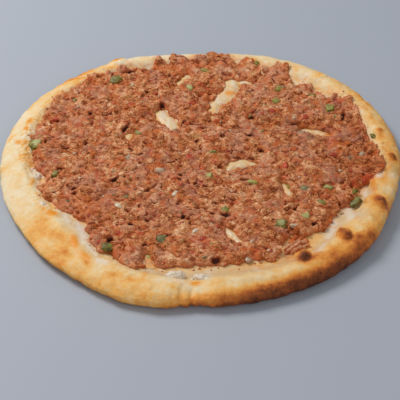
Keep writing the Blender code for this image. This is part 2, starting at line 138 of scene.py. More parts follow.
# %% The dough's sizes and its upper face
def rim_sizes(bearing):
    """Radius of the bed's edge, the crest and the outer edge, and the crest's height."""
    outer = around(bearing, BREAD_RADIUS, RADIUS_LOBES)
    crest = outer - around(bearing, CREST_INSET, CREST_LOBES)
    height = around(bearing, RIM_HEIGHT, HEIGHT_LOBES)
    height = height - PINCH_DEPTH * bump(bearing, PINCH_BEARING, PINCH_HALF_WIDTH)
    bed = np.minimum(around(bearing, BED_RADIUS, BED_LOBES), crest - RIM_SLOPE)
    return bed, crest, outer, height


def curl(bearing, radius):
    """How far the edge has lifted off the floor."""
    outer = rim_sizes(bearing)[2]
    reach = ease((radius - CURL_START) / (outer - CURL_START))
    return CURL_HEIGHT * reach * bump(bearing, CURL_BEARING, CURL_HALF_WIDTH)


def dough_top(x, y):
    """Height of the bread's upper face."""
    radius, bearing = polar(x, y)
    bed, crest, outer, height = rim_sizes(bearing)
    rise = (1 - np.cos(np.pi * np.clip((radius - bed) / (crest - bed), 0, 1))) / 2
    out = np.clip((radius - crest) / (outer - crest), 0, 1)
    slope = BED_HEIGHT + (height - BED_HEIGHT) * rise
    side = WIDEST_HEIGHT + (height - WIDEST_HEIGHT) * np.sqrt(1 - out * out)
    return np.where(radius < crest, slope, side) + curl(bearing, radius)


print("bed, crest, edge and height at the fold:",
      [float(size.round(1)) for size in rim_sizes(np.array(PINCH_BEARING))])


# %% [markdown]
# ## Checking the functions against the solid
# These functions repeat what the solid was made from, so a probe from above has to meet the
# solid where they say. A few tenths of a millimetre are the facets of the solid and its lumps.

# %% Probe the solid bread
def probe(node, x, y):
    """Height in mm at which a ray from above meets a solid, or nothing."""
    start = Vector(((x + TURN_AXIS[0]) * MM, (y + TURN_AXIS[1]) * MM, 0.1))
    hit, place, _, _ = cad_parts[node].ray_cast(start, Vector((0, 0, -1)))
    return place.z / MM if hit else None


for bearing in (-160, PINCH_BEARING, -40, 20, 100):
    for radius in (124, 134):
        x, y = at_bearing(radius, bearing)
        expected = float(dough_top(x, y))
        print(f"bearing {bearing:6}, radius {radius}: expected {expected:5.1f}, solid",
              probe("bread", x, y))

# %% [markdown]
# ## Camera
# The camera stands where the photograph was taken: 40 degrees above the floor, close to 1 m
# away, with a long lens. Its matrix is built from the pitch and the slight roll, which is
# easier to check than three Euler angles.

# %% Camera at the photograph's viewing angle
CAMERA_PLACE = (-0.00044, -0.77186, 0.6205)
CAMERA_PITCH = math.radians(39.86)
CAMERA_ROLL = math.radians(0.988)
LENS = 126


def new_object(name, data):
    """An object in the scene's own collection."""
    made = bpy.data.objects.new(name, data)
    bpy.context.scene.collection.objects.link(made)
    return made


def make_camera():
    """A level camera, pitched down and rolled a little about its own view."""
    data = bpy.data.cameras.new("camera")
    data.lens = LENS
    data.sensor_fit = "HORIZONTAL"
    camera = new_object("camera", data)
    forward = Vector((0, math.cos(CAMERA_PITCH), -math.sin(CAMERA_PITCH)))
    level_up = Vector((0, math.sin(CAMERA_PITCH), math.cos(CAMERA_PITCH)))
    right = Vector((1, 0, 0)) * math.cos(CAMERA_ROLL) + level_up * math.sin(CAMERA_ROLL)
    up = level_up * math.cos(CAMERA_ROLL) - Vector((1, 0, 0)) * math.sin(CAMERA_ROLL)
    turn = Matrix((right, up, -forward)).transposed().to_4x4()
    camera.matrix_world = Matrix.Translation(CAMERA_PLACE) @ turn
    bpy.context.scene.camera = camera
    return camera


print("camera at", [round(v, 3) for v in make_camera().matrix_world.translation])


# %% [markdown]
# ## Light, floor and picture
# A large soft window light comes from the upper left, and the room fills the shadows. The
# plain view transform keeps colours as they are set, so that a crust painted in the colours
# of the photograph can be compared with it directly.

# %% Soft light
def srgb(red, green, blue):
    """A colour as a picture shows it, 0 to 255, turned into the linear colour of a shader."""
    values = [channel / 255 for channel in (red, green, blue)]
    linear = [v / 12.92 if v <= 0.04045 else ((v + 0.055) / 1.055) ** 2.4 for v in values]
    return (*linear, 1.0)


# Name, place and size in metres, power in watts and colour. Each light faces the bread.
LIGHTS = (("window", (-0.62, 0.45, 0.95), 0.58, 9.7, (1.0, 0.985, 0.96)),
          ("fill", (0.35, -1.1, 0.8), 1.2, 4.0, (1.0, 0.97, 0.93)))
ROOM_COLOUR, ROOM_STRENGTH = (0.93, 0.96, 1.0, 1.0), 0.34

for name, place, size, power, colour in LIGHTS:
    data = bpy.data.lights.new(name, "AREA")
    data.shape = "DISK"
    data.size = size
    data.energy = power
    data.color = colour
    lamp = new_object(name, data)
    lamp.location = place
    lamp.rotation_euler = (-Vector(place)).to_track_quat("-Z", "Y").to_euler()

world = bpy.data.worlds.new("room")
world.use_nodes = True
background = world.node_tree.nodes["Background"]
background.inputs["Color"].default_value = ROOM_COLOUR
background.inputs["Strength"].default_value = ROOM_STRENGTH
bpy.context.scene.world = world
bpy.context.scene.view_settings.view_transform = "Standard"
print("lights:", [light.name for light in bpy.data.lights])


# %% [markdown]
# ## Working with shader nodes
# Node trees in code are long when every socket is linked by hand. A few small helpers keep
# them short: they add a node and feed its sockets, do arithmetic, mix colours, turn a value
# into a colour, and read what is painted on the mesh.

# %% Add nodes and feed their sockets
def put(tree, kind, settings=None, **feeds):
    """Adds a node. Feeds are named after its sockets and hold a value or another socket."""
    made = tree.nodes.new("ShaderNode" + kind)
    for name, value in (settings or {}).items():
        setattr(made, name, value)
    for name, value in feeds.items():
        feed(tree, made.inputs[name.replace("_", " ")], value)
    return made


def feed(tree, socket, value):
    """Sets a socket to a value, or links another socket to it."""
    if isinstance(value, bpy.types.NodeSocket):
        tree.links.new(value, socket)
    else:
        socket.default_value = value


def calc(tree, operation, first, second=0.0, clamp=False, third=0.0):
    """Arithmetic on two values, or on three."""
    made = put(tree, "Math", {"operation": operation, "use_clamp": clamp})
    for socket, value in zip(made.inputs, (first, second, third)):
        feed(tree, socket, value)
    return made.outputs[0]


def mix(tree, share, first, second, how="MIX"):
    """A share of the second colour over the first."""
    made = put(tree, "Mix", {"data_type": "RGBA", "blend_type": how})
    for place, value in ((0, share), (6, first), (7, second)):
        feed(tree, made.inputs[place], value)
    return made.outputs[2]


# %% Colours from values and from paint
def ramp(tree, value, stops):
    """A colour for each value: the stops are (value, colour)."""
    made = put(tree, "ValToRGB", Fac=value)
    elements = made.color_ramp.elements
    while len(elements) < len(stops):
        elements.new(0.5)
    for element, (where, colour) in zip(elements, stops):
        element.position = where
        element.color = colour
    return made.outputs["Color"]


def painted(tree, name):
    """What is painted on the mesh's points under a name."""
    return put(tree, "Attribute", {"attribute_name": name}).outputs["Fac"]


def stained(tree, below, name, strength, colour):
    """A colour over what is below it, as strong as the paint of that name."""
    return mix(tree, calc(tree, "MULTIPLY", painted(tree, name), strength), below, colour)


# %% Make a node group and use it
def new_group(name, inputs, outputs):
    """An empty node group with named number inputs and outputs."""
    group = bpy.data.node_groups.new(name, "ShaderNodeTree")
    for label, value in inputs:
        socket = group.interface.new_socket(label, in_out="INPUT", socket_type="NodeSocketFloat")
        socket.default_value = value
    for label in outputs:
        group.interface.new_socket(label, in_out="OUTPUT", socket_type="NodeSocketFloat")
    return group, group.nodes.new("NodeGroupInput").outputs, group.nodes.new("NodeGroupOutput").inputs


def use(tree, group, **feeds):
    """Places a node group in a material with its own values."""
    made = put(tree, "Group", {"node_tree": group})
    for name, value in feeds.items():
        feed(tree, made.inputs[name], value)
    return made.outputs


# %% [markdown]
# ## Effects that the food shares
# Dough, meat and vegetables have different colours, but all of them are unevenly baked, have a
# fine grain and shine where they are wet. Meat also has a tone for each of its small grains, and
# a crust has freckles. Each effect is a node group, built once and used in each material with
# its own size and strength. Sizes are in mm, as everywhere in this notebook.

# %% Uneven tone and grain as node groups
def place_and_scale(group, size):
    """Object coordinates, and the scale at which a texture's features have a size in mm."""
    return put(group, "TexCoord").outputs["Object"], calc(group, "DIVIDE", 1 / MM, size)


def make_uneven():
    """Blotches round zero, for tones that vary from place to place."""
    group, ins, outs = new_group("uneven_tone", (("Size", 10.0), ("Spread", 0.1)), ("Value",))
    place, scale = place_and_scale(group, ins["Size"])
    blotches = put(group, "TexNoise", Vector=place, Detail=4.0, Roughness=0.55, Scale=scale)
    centred = calc(group, "SUBTRACT", blotches.outputs["Fac"], 0.5)
    doubled = calc(group, "MULTIPLY", centred, calc(group, "MULTIPLY", ins["Spread"], 2.0))
    group.links.new(doubled, outs["Value"])
    return group


def make_grain():
    """Height of a fine grain with small pits in it."""
    group, ins, outs = new_group("fine_grain", (("Size", 1.0), ("Pits", 0.5)), ("Height",))
    place, scale = place_and_scale(group, ins["Size"])
    fine = put(group, "TexNoise", Vector=place, Scale=scale, Detail=5.0, Roughness=0.6)
    cells = put(group, "TexVoronoi", Vector=place, Scale=calc(group, "MULTIPLY", scale, 0.7))
    pits = calc(group, "MULTIPLY", cells.outputs["Distance"], ins["Pits"])
    group.links.new(calc(group, "ADD", fine.outputs["Fac"], pits), outs["Height"])
    return group


# %% Grit and freckles
GRIT_BEND = 1.6  # how far the grains are bent out of their plain cells, in mm


def make_grit():
    """Tone of separate small grains, round zero: each has its own, the middle of each is painted lighter
    and the seams between them carry painted shade.
    """
    group, ins, outs = new_group("grit", (("Size", 1.4), ("Own", 0.5), ("Seams", 0.5)), ("Tone",))
    place, scale = place_and_scale(group, ins["Size"])
    bend = put(group, "TexNoise", Vector=place, Scale=scale, Detail=2.0).outputs["Color"]
    bent = put(group, "VectorMath", {"operation": "MULTIPLY_ADD"})
    for socket, value in zip(bent.inputs, (bend, (GRIT_BEND * MM,) * 3, place)):
        feed(group, socket, value)
    cells = put(group, "TexVoronoi", Vector=bent.outputs["Vector"], Scale=scale)
    chance = put(group, "SeparateColor", Color=cells.outputs["Color"]).outputs["Red"]
    own = calc(group, "MULTIPLY", calc(group, "SUBTRACT", chance, 0.5), ins["Own"])
    inside = calc(group, "SUBTRACT", 0.42, cells.outputs["Distance"])
    seam = calc(group, "MULTIPLY", inside, ins["Seams"])
    group.links.new(calc(group, "ADD", own, seam), outs["Tone"])
    return group


def make_freckles():
    """Small separate spots: the oven's freckles on a crust, or flecks of spice."""
    group, ins, outs = new_group("freckles", (("Size", 2.0), ("Share", 0.3)), ("Mask",))
    place, scale = place_and_scale(group, ins["Size"])
    cells = put(group, "TexVoronoi", Vector=place, Scale=scale)
    spot = calc(group, "SUBTRACT", 1.0, calc(group, "MULTIPLY", cells.outputs["Distance"], 2.4), True)
    chance = put(group, "SeparateColor", Color=cells.outputs["Color"]).outputs["Red"]
    chosen = calc(group, "LESS_THAN", chance, ins["Share"])
    group.links.new(calc(group, "MULTIPLY", spot, chosen), outs["Mask"])
    return group


# %% Moisture, and all five groups
def make_moisture():
    """Roughness and gloss coat between a dry and a wet surface."""
    group, ins, outs = new_group(
        "moisture", (("Moist", 0.0), ("Dry", 0.6), ("Wet", 0.25), ("Shine", 0.5)),
        ("Roughness", "Coat"))
    drop = calc(group, "MULTIPLY", ins["Moist"], calc(group, "SUBTRACT", ins["Dry"], ins["Wet"]))
    group.links.new(calc(group, "SUBTRACT", ins["Dry"], drop), outs["Roughness"])
    group.links.new(calc(group, "MULTIPLY", ins["Moist"], ins["Shine"]), outs["Coat"])
    return group


UNEVEN, GRAIN, GRIT, FRECKLES, MOISTURE = (
    make() for make in (make_uneven, make_grain, make_grit, make_freckles, make_moisture))
print("node groups:", [group.name for group in bpy.data.node_groups])


# %% [markdown]
# ## A material's frame
# Every material here ends the same way: a colour, a roughness, a little gloss and a bump go
# into a Principled BSDF. Food lets light in, so a small constant share of subsurface softens
# all of them. Its value sits on the shader itself, since it is the same all over.

# %% One function that finishes a material
COAT_ROUGHNESS = 0.18


def finish_material(name, colour_of, moist_of, dry, wet, shine, grain, pits, relief, through, soft,
                    gleam=0.5):
    """colour_of and moist_of are functions that add their nodes to the tree.

    dry and wet are the two roughnesses, shine the coat where it is wet, grain the size and
    relief the height of the fine grain in mm, through the share of light that is let in, and
    soft how far its three colours travel in mm."""
    material = bpy.data.materials.new(name)
    material.use_nodes = True
    tree = material.node_tree
    shader = tree.nodes["Principled BSDF"]
    feed(tree, shader.inputs["Base Color"], colour_of(tree))
    wetness = use(tree, MOISTURE, Moist=moist_of(tree), Dry=dry, Wet=wet, Shine=shine)
    feed(tree, shader.inputs["Roughness"], wetness["Roughness"])
    feed(tree, shader.inputs["Coat Weight"], wetness["Coat"])
    shader.inputs["Coat Roughness"].default_value = COAT_ROUGHNESS
    shader.inputs["Specular IOR Level"].default_value = gleam
    shader.inputs["Subsurface Weight"].default_value = through
    shader.inputs["Subsurface Radius"].default_value = soft
    shader.inputs["Subsurface Scale"].default_value = MM
    height = use(tree, GRAIN, Size=grain, Pits=pits)["Height"]
    surface = put(tree, "Bump", Height=height, Strength=1.0, Distance=relief * MM)
    feed(tree, shader.inputs["Normal"], surface.outputs["Normal"])
    return material


# %% [markdown]
# ## From arrays to objects
# A mesh made by a modifier stack can't carry paint that follows a formula, so the meshes below
# are built from arrays. `from_pydata` takes the points and faces, and the paint goes on as
# named point attributes, which the materials read.

# %% Make one object from points, faces and paint
def new_piece(name, points, faces, material, paint=None, nodes=()):
    """points in mm about the turning axis. The piece rides on the one body."""
    mesh = bpy.data.meshes.new(name)
    placed = (np.asarray(points) + (*TURN_AXIS, 0)) * MM
    mesh.from_pydata(placed.tolist(), [], faces.tolist() if hasattr(faces, "tolist") else faces)
    for label, values in (paint or {}).items():
        mesh.attributes.new(label, "FLOAT", "POINT").data.foreach_set(
            "value", np.asarray(values, dtype=np.float32).ravel())
    mesh.shade_smooth()
    mesh.materials.append(material)
    piece = new_object(name, mesh)
    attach(piece, "root")
    if nodes:
        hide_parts(*nodes)
    triangles = sum(len(face.vertices) - 2 for face in mesh.polygons)
    print(f"{name}: {len(mesh.vertices)} points, {triangles} triangles")
    return piece


# %% A plain pale floor
FLOOR_RADIUS = 4.0  # in metres
FLOOR_COLOURS = ((0, srgb(164, 171, 183)), (1, srgb(177, 183, 194)))


def floor_colour(tree):
    tone = use(tree, UNEVEN, Size=400.0, Spread=0.03)["Value"]
    return ramp(tree, calc(tree, "ADD", 0.5, tone), FLOOR_COLOURS)


def make_floor():
    mesh = bpy.data.meshes.new("floor")
    work = bmesh.new()
    bmesh.ops.create_circle(work, cap_ends=True, segments=64, radius=FLOOR_RADIUS)
    work.to_mesh(mesh)
    work.free()
    floor = new_object("floor", mesh)
    floor.data.materials.append(finish_material(
        "pale_floor", floor_colour, lambda tree: 0.0, dry=0.6, wet=0.6, shine=0.0, grain=2.0,
        pits=0.2, relief=0.02, through=0.0, soft=(1.0, 1.0, 1.0)))


make_floor()


# %% [markdown]
# ## Where the meat lies
# The bread's finish depends on the meat: dough is wet beside it, and rises in pale bubbles
# through the gaps in it. So the meat's ragged edge and the gaps come first. Both are distances:
# positive inside the meat, negative outside. Distances are easy to combine with `minimum`.
# The edge is a circle with lobes. A gap is a stroke that changes its width from point to point.

# %% The meat's edge and its gaps
MEAT_MIDDLE = (2, 12)
MEAT_RADIUS = 119
MEAT_LOBES = (
    (175, 7, 11), (152, 6, 5), (136, 4, 4.5), (119, -2, 4), (113.5, -8, 2), (108.5, 3, 1.5),
    (105.8, -6, 1.4), (101.7, 1.5, 2), (97.5, -6.5, 2.2), (78.5, -6, 2.2), (69, -5.5, 3.5),
    (61, -1.5, 3), (53, -12, 2.4), (43, -7.5, 4), (35, -1, 3), (26, 2, 6), (12, -1.5, 3),
    (0, 1.2, 4), (-9, 7.5, 4), (-20, -8.5, 4), (-35, -12, 4.5), (-47, -8, 4), (-56.5, -15.5, 3.2),
    (-63, -7, 3.5), (-68, 5, 2), (-74, -2, 3), (-81, -2, 3), (-90, -2, 3.5), (-102, 4, 4),
    (-112.5, 14, 4), (-123.5, 9.5, 4), (-138, -8, 4.5), (-156, 3.5, 5), (-166, -5, 3.5),
    (-178, -4, 2))
RAGGED, RAGGED_LENGTH = 2.5, 7
# The points of each gap's middle line: x, y and half width.
GAPS = (((-13, 107, 3.0), (-19, 98, 3.4)),
        ((20.5, 100, 5.6), (20, 92, 5.8), (17, 83.5, 6.4), (12.5, 78, 5.8), (8, 71, 4.4),
         (7, 62.5, 4.2)),
        ((-31.6, 59, 5.0), (-28.5, 53, 5.8), (-25, 47, 5.6), (-22.5, 42.5, 5.0)),
        ((17.5, -7, 2.4), (21.5, 0, 4.4), (27, 1.5, 5.8), (34, 0.5, 3.6)),
        ((72.5, 41.5, 3.0), (81, 39.5, 3.4), (88, 37.5, 4.0)),
        ((55.5, -22, 2.2), (60.5, -31, 2.4)),
        ((16, -69, 2.4), (20, -75, 3.0), (25, -82, 2.0)),
        ((-54, 33, 2.6), (-55.5, 27, 2.6)),
        ((-36, -96, 1.5), (-34.5, -103, 2.1), (-33, -112, 4.0)),
        ((28, 101, 2.8), (33, 100, 3.2)))


def meat_reach(x, y):
    """Distance to the meat's ragged edge, positive inside it."""
    radius, bearing = polar(x - MEAT_MIDDLE[0], y - MEAT_MIDDLE[1])
    ragged = RAGGED * waves(x, y, RAGGED_LENGTH, 50.0)
    return around(bearing, MEAT_RADIUS, MEAT_LOBES) + ragged - radius


def stroke(x, y, x0, y0, x1, y1):
    """Distance to a straight stroke, and how far along it the nearest point is, 0 to 1."""
    along = ((x - x0) * (x1 - x0) + (y - y0) * (y1 - y0)) / ((x1 - x0) ** 2 + (y1 - y0) ** 2)
    along = np.clip(along, 0, 1)
    return np.hypot(x - x0 - (x1 - x0) * along, y - y0 - (y1 - y0) * along), along


def gap_reach(x, y):
    """Distance to the nearest gap's edge, negative inside the gap."""
    nearest = np.full_like(x, np.inf)
    for gap in GAPS:
        for (x0, y0, wide0), (x1, y1, wide1) in zip(gap, gap[1:]):
            away, along = stroke(x, y, x0, y0, x1, y1)
            nearest = np.minimum(nearest, away - (wide0 + (wide1 - wide0) * along))
    return nearest


middle = [np.array(float(v)) for v in MEAT_MIDDLE]
print("the meat's edge is about", float(meat_reach(*middle).round(1)), "mm from its middle")


# %% [markdown]
# ## Crust
# The crust is one closed skin: the bed under the meat, the inner slope, the rim's crest, its
# outer side, the foot and the underside. A Screw modifier would turn it in one step, but it
# leaves no easy way to know which part of the section a point belongs to. A lattice of rings
# does: each ring has a share, from -1 in the middle over 0 at the bed's edge, 1 on the crest,
# 2 at the widest place and 3 where the foot meets the floor, to 4 at the middle below.

# %% The lattice of rings
TURNS = 1020
RINGS = ((-1, 4), (-0.3, 18), (0, 24), (1, 30), (2, 10), (3, 8))


def ring_shares():
    """The share of each ring, with the first one just outside the middle."""
    starts = [start for start, _ in RINGS] + [4]
    shares = [start + (after - start) * step / count
              for (start, count), after in zip(RINGS, starts[1:]) for step in range(count)]
    return np.array(shares[1:])


def section(share, bearing):
    """Radius and height of the smooth dough at a share of its section."""
    bed, crest, outer, height = rim_sizes(bearing)
    widest = outer - PINCH_PULL * bump(bearing, PINCH_BEARING, PINCH_HALF_WIDTH)
    inner = np.clip(share, 0, 1)
    side, foot = (np.pi / 2 * np.clip(share - start, 0, 1) for start in (1, 2))
    rise = (1 - np.cos(np.pi * inner)) / 2
    foot_radius = widest - FOOT_INSET * (1 - np.cos(foot))
    radius = np.select([share < 0, share < 1, share < 2, share < 3],
                       [bed * (1 + share), bed + (crest - bed) * inner,
                        crest + (widest - crest) * np.sin(side), foot_radius],
                       (widest - FOOT_INSET) * (4 - share))
    top = np.select([share < 1, share < 2, share < 3],
                    [BED_HEIGHT + (height - BED_HEIGHT) * rise,
                     WIDEST_HEIGHT + (height - WIDEST_HEIGHT) * np.cos(side),
                     WIDEST_HEIGHT * (1 - np.sin(foot))], 0.0)
    return radius, top + curl(bearing, radius)


# %% Points and faces of the lattice
def crust_lattice():
    """Points of the smooth skin, and the share and bearing of each."""
    share, bearing = np.meshgrid(ring_shares(), np.arange(TURNS) * 360 / TURNS - 180, indexing="ij")
    radius, height = section(share, bearing)
    return np.stack([*at_bearing(radius, bearing), height], -1), share, bearing


def outward(points):
    """The direction that each point of a lattice of rings faces."""
    across = np.gradient(points, axis=0)
    along = np.roll(points, -1, axis=1) - np.roll(points, 1, axis=1)
    normal = np.cross(across, along)
    return normal / np.linalg.norm(normal, axis=-1, keepdims=True)


def lattice_faces(rings, turns):
    """Quads between neighbouring rings, closed all the way round."""
    ring, turn = np.meshgrid(np.arange(rings - 1), np.arange(turns), indexing="ij")
    after = (turn + 1) % turns
    corners = [ring * turns + turn, (ring + 1) * turns + turn, (ring + 1) * turns + after,
               ring * turns + after]
    return np.stack(corners, -1).reshape(-1, 4).tolist()


skin, skin_share, skin_bearing = crust_lattice()
skin_x, skin_y = skin[..., 0], skin[..., 1]
print("rings and turns:", skin.shape[:2])

# %% [markdown]
# ## Relief of the crust
# A baked rim is not smooth. It has long low hills from the fingers, wrinkles that run round the
# rim, blisters where steam lifted the skin, pimples by the hundred, and pleats at the fold.
# Beside the meat the dough is bubbly, with thin seams between the bubbles like lace.
# All of it is added along the skin's normals, so it is real geometry. Blisters, ridges and the
# fold stand where the photograph shows them, the rest is a rule.

# %% Named places of the relief
# Blisters: x, y, length, width, height in mm and the bearing of the length.
BLISTERS = (
    (65.5, -100, 11.5, 10.5, 4.6, 0), (93.5, -80, 9.5, 9.5, 4.0, 0), (117, -46, 16, 12, 3.2, -35),
    (105, -83, 17, 12, 1.2, 50), (-67, 119, 15, 11, 1.6, 20), (89, 101, 9, 7, 1.0, -35),
    (114, 76, 11, 8, 1.0, -55), (-97, -80, 22, 13, 0.6, -50), (131, -8, 9, 7, 1.0, 80),
    (125.5, 33, 8, 7, 0.9, 80), (132, 5, 10, 7, 1.2, 80))
BROWNED_BLISTERS = 3  # the first ones stand high, dry and brown
# Ridges where the dough was folded over: two ends, half width and height.
RIDGES = (
    (-86, -82, -81, -96, 3.0, 0.4), (-81, -96, -73, -108, 3.0, 0.4),
    (-103, -58, -92, -78, 1.8, 0.5), (100, -62, 106, -48, 1.8, 0.6), (12, -126, 44, -122, 2.0, 0.5),
    (44, -122, 62, -113, 2.0, 0.5), (117, -14, 118, -34, 1.4, 0.9),
    (-118, -20, -118, -34, 1.6, 0.6), (-62, -118, -38, -124, 1.6, 0.5),
    (-86, 108, -72, 110, 1.8, 0.6))
# Pleats of the fold: bearing, half width in degrees and depth.
PLEATS = ((-95.4, 0.5, 0.9), (-92.6, 0.45, 1.3), (-90.2, 0.5, 1.0), (-88.3, 0.4, 0.5),
          (-97.6, 0.5, 0.4))
# Pimples: how many, their sizes and heights, and which shares of the section they stand on.
PIMPLES, PIMPLE_SIZES, PIMPLE_HEIGHTS, PIMPLE_SHARES = 230, (1.6, 4.6), (0.12, 0.5), (0.15, 1.8)


def turned(x, y, turn):
    """Along and across an axis that is turned by an angle in radians."""
    return x * np.cos(turn) + y * np.sin(turn), y * np.cos(turn) - x * np.sin(turn)


def oval(x, y, where_x, where_y, length, width, bearing):
    """0 at the middle of an oval and 1 on its edge."""
    along, across = turned(x - where_x, y - where_y, math.radians(bearing))
    return np.hypot(2 * along / length, 2 * across / width)


# %% Lace and blisters
LACE_SIZE, LACE_SEAM, LACE_BEND = 3.6, 0.32, 1.3


def lace(x, y):
    """1 on the seams between bubbles of a few mm, 0 in the middle of a bubble."""
    bent_x, bent_y = (v + LACE_BEND * waves(x, y, 3.0, layer) for v, layer in ((x, 90.0), (y, 91.0)))
    places = np.stack([bent_x, bent_y, np.zeros_like(x)], -1).reshape(-1, 3) / LACE_SIZE
    near = np.array([noise.voronoi(place)[0][:2] for place in places.tolist()])
    return 1 - ease((near[:, 1] - near[:, 0]).reshape(x.shape) / LACE_SEAM)


def lace_band(x, y, share, bearing):
    """1 on the strip of oily, bubbly dough beside the meat, most of all on the left."""
    left = 0.25 + 0.75 * np.maximum(bump(bearing, 172, 13), 0.8 * bump(bearing, -153, 7))
    return left * ease((meat_reach(x, y) + 13) / 5) * (share < 1.15)


def on_blister(x, y, blister):
    """1 in the middle of a blister, 0 from its edge on."""
    where_x, where_y, length, width, _, bearing = blister
    return np.clip(1 - oval(x, y, where_x, where_y, length, width, bearing) ** 2, 0, 1)


crust_lace = lace(skin_x, skin_y)
crust_band = lace_band(skin_x, skin_y, skin_share, skin_bearing)
print("share of the skin with lace:", float((crust_band > 0.5).mean().round(3)))


# %% Hills, wrinkles, pimples and pleats
HILLS = ((0.55, 9.0), (0.30, 4.0))  # height and length of each size, in mm
WRINKLED_RADIUS = 130  # wrinkles are drawn as if the whole skin stood at this radius
WRINKLE_HEIGHT, WRINKLE_LENGTH, WRINKLE_FLOOR = 0.35, 6.5, 0.15
CREASE_HEIGHT, CREASE_LENGTH = 0.16, 2.6
LACE_HEIGHT = 0.55


def crust_relief(points, share, bearing):
    """How far the skin stands out from its smooth form, in mm."""
    x, y, z = points[..., 0], points[..., 1], points[..., 2]
    on_rim = ease((share + 0.1) / 0.5) * ease((2.9 - share) / 0.6)
    ring_x, ring_y = at_bearing(WRINKLED_RADIUS, bearing)
    hills = sum(height * waves(x, y, length, z) for height, length in HILLS)
    wrinkles = WRINKLE_HEIGHT * waves(ring_x, ring_y, WRINKLE_LENGTH, share * 26) - WRINKLE_FLOOR
    creases = CREASE_HEIGHT * waves(ring_x, ring_y, CREASE_LENGTH, share * 14)
    relief = (hills + np.abs(wrinkles) + creases) * on_rim
    relief += LACE_HEIGHT * (0.6 - crust_lace) * crust_band

    draw = np.random.default_rng(5)
    for _ in range(PIMPLES):
        where, part = draw.uniform(-180, 180), draw.uniform(*PIMPLE_SHARES)
        radius, height = section(np.array(part), np.array(where))
        size, tall = draw.uniform(*PIMPLE_SIZES), draw.uniform(*PIMPLE_HEIGHTS)
        centre = (*at_bearing(radius, where), height)
        near = 1 - np.sum((points - centre) ** 2, axis=-1) / (size / 2) ** 2
        relief += tall * np.clip(near, 0, 1)

    for blister in BLISTERS:
        height = blister[4] * (1 + 0.5 * waves(x, y, 3.2, 95.0))
        relief += height * on_blister(x, y, blister) ** 0.55 * (share < 2.2)
    for *ends, half_width, height in RIDGES:
        relief += height * np.exp(-(stroke(x, y, *ends)[0] / half_width) ** 2) * (share < 2)
    for where, half_width, depth in PLEATS:
        down_side = ease((share - 0.9) / 0.5) * ease((2.9 - share) / 0.5)
        relief -= depth * bump(bearing, where, half_width) * down_side
    return relief


# %% Move the skin
def crust_points():
    """The skin with its low lumps and its relief, kept inside the box of the solids."""
    points = skin.copy()
    inside = np.clip(np.where(skin_share < 1, skin_share, skin[..., 2] / RIM_HEIGHT), 0, 1)
    inside = np.where(skin_share < 3, inside, 0)
    points[..., 2] += LUMP_HEIGHT * inside * waves(skin_x, skin_y, LUMP_LENGTH)
    points += outward(skin) * crust_relief(skin, skin_share, skin_bearing)[..., None]
    return np.clip(points, box_low - (*TURN_AXIS, 0), box_high - (*TURN_AXIS, 0))


crust_skin = crust_points()
print("relief moved the skin by up to", float(np.abs(crust_skin - skin).max().round(2)), "mm")

# %% [markdown]
# ## How the oven coloured the crust
# One value, the toast, says how brown each point is: 0 is pale floury dough, 0.4 golden, 0.7
# orange brown, 1 charred. The table gives it round the bread for four levels of the rim, as
# someone would note it down while turning the bread. The far left stays pale, and the near
# right side caught the most heat. Spots, streaks and blisters are added with single strokes.

# %% The toast round the rim and its spots
# Bearing, then the toast of the inner slope, the crest, the outer side and the foot.
TOAST_ROUND = (
    (-180, 0.12, 0.12, 0.15, 0.22), (-165, 0.15, 0.16, 0.18, 0.25), (-150, 0.18, 0.26, 0.28, 0.34),
    (-135, 0.18, 0.35, 0.40, 0.46), (-120, 0.22, 0.32, 0.42, 0.50), (-105, 0.26, 0.29, 0.44, 0.52),
    (-97, 0.26, 0.26, 0.50, 0.62), (-92, 0.25, 0.24, 0.56, 0.70), (-87, 0.26, 0.28, 0.62, 0.78),
    (-75, 0.34, 0.27, 0.84, 0.95), (-60, 0.50, 0.31, 0.91, 0.98), (-48, 0.34, 0.44, 0.85, 0.94),
    (-38, 0.28, 0.34, 0.58, 0.72), (-28, 0.24, 0.32, 0.44, 0.54), (-12, 0.30, 0.29, 0.34, 0.50),
    (3, 0.24, 0.38, 0.42, 0.54), (20, 0.16, 0.32, 0.38, 0.46), (35, 0.14, 0.28, 0.34, 0.44),
    (60, 0.16, 0.24, 0.32, 0.42), (100, 0.10, 0.08, 0.16, 0.36), (118, 0.08, 0.08, 0.19, 0.36),
    (130, 0.30, 0.34, 0.42, 0.45), (145, 0.22, 0.26, 0.32, 0.36), (165, 0.17, 0.15, 0.16, 0.25))
TOAST_LEVELS = (0.4, 1.1, 1.7, 2.15)
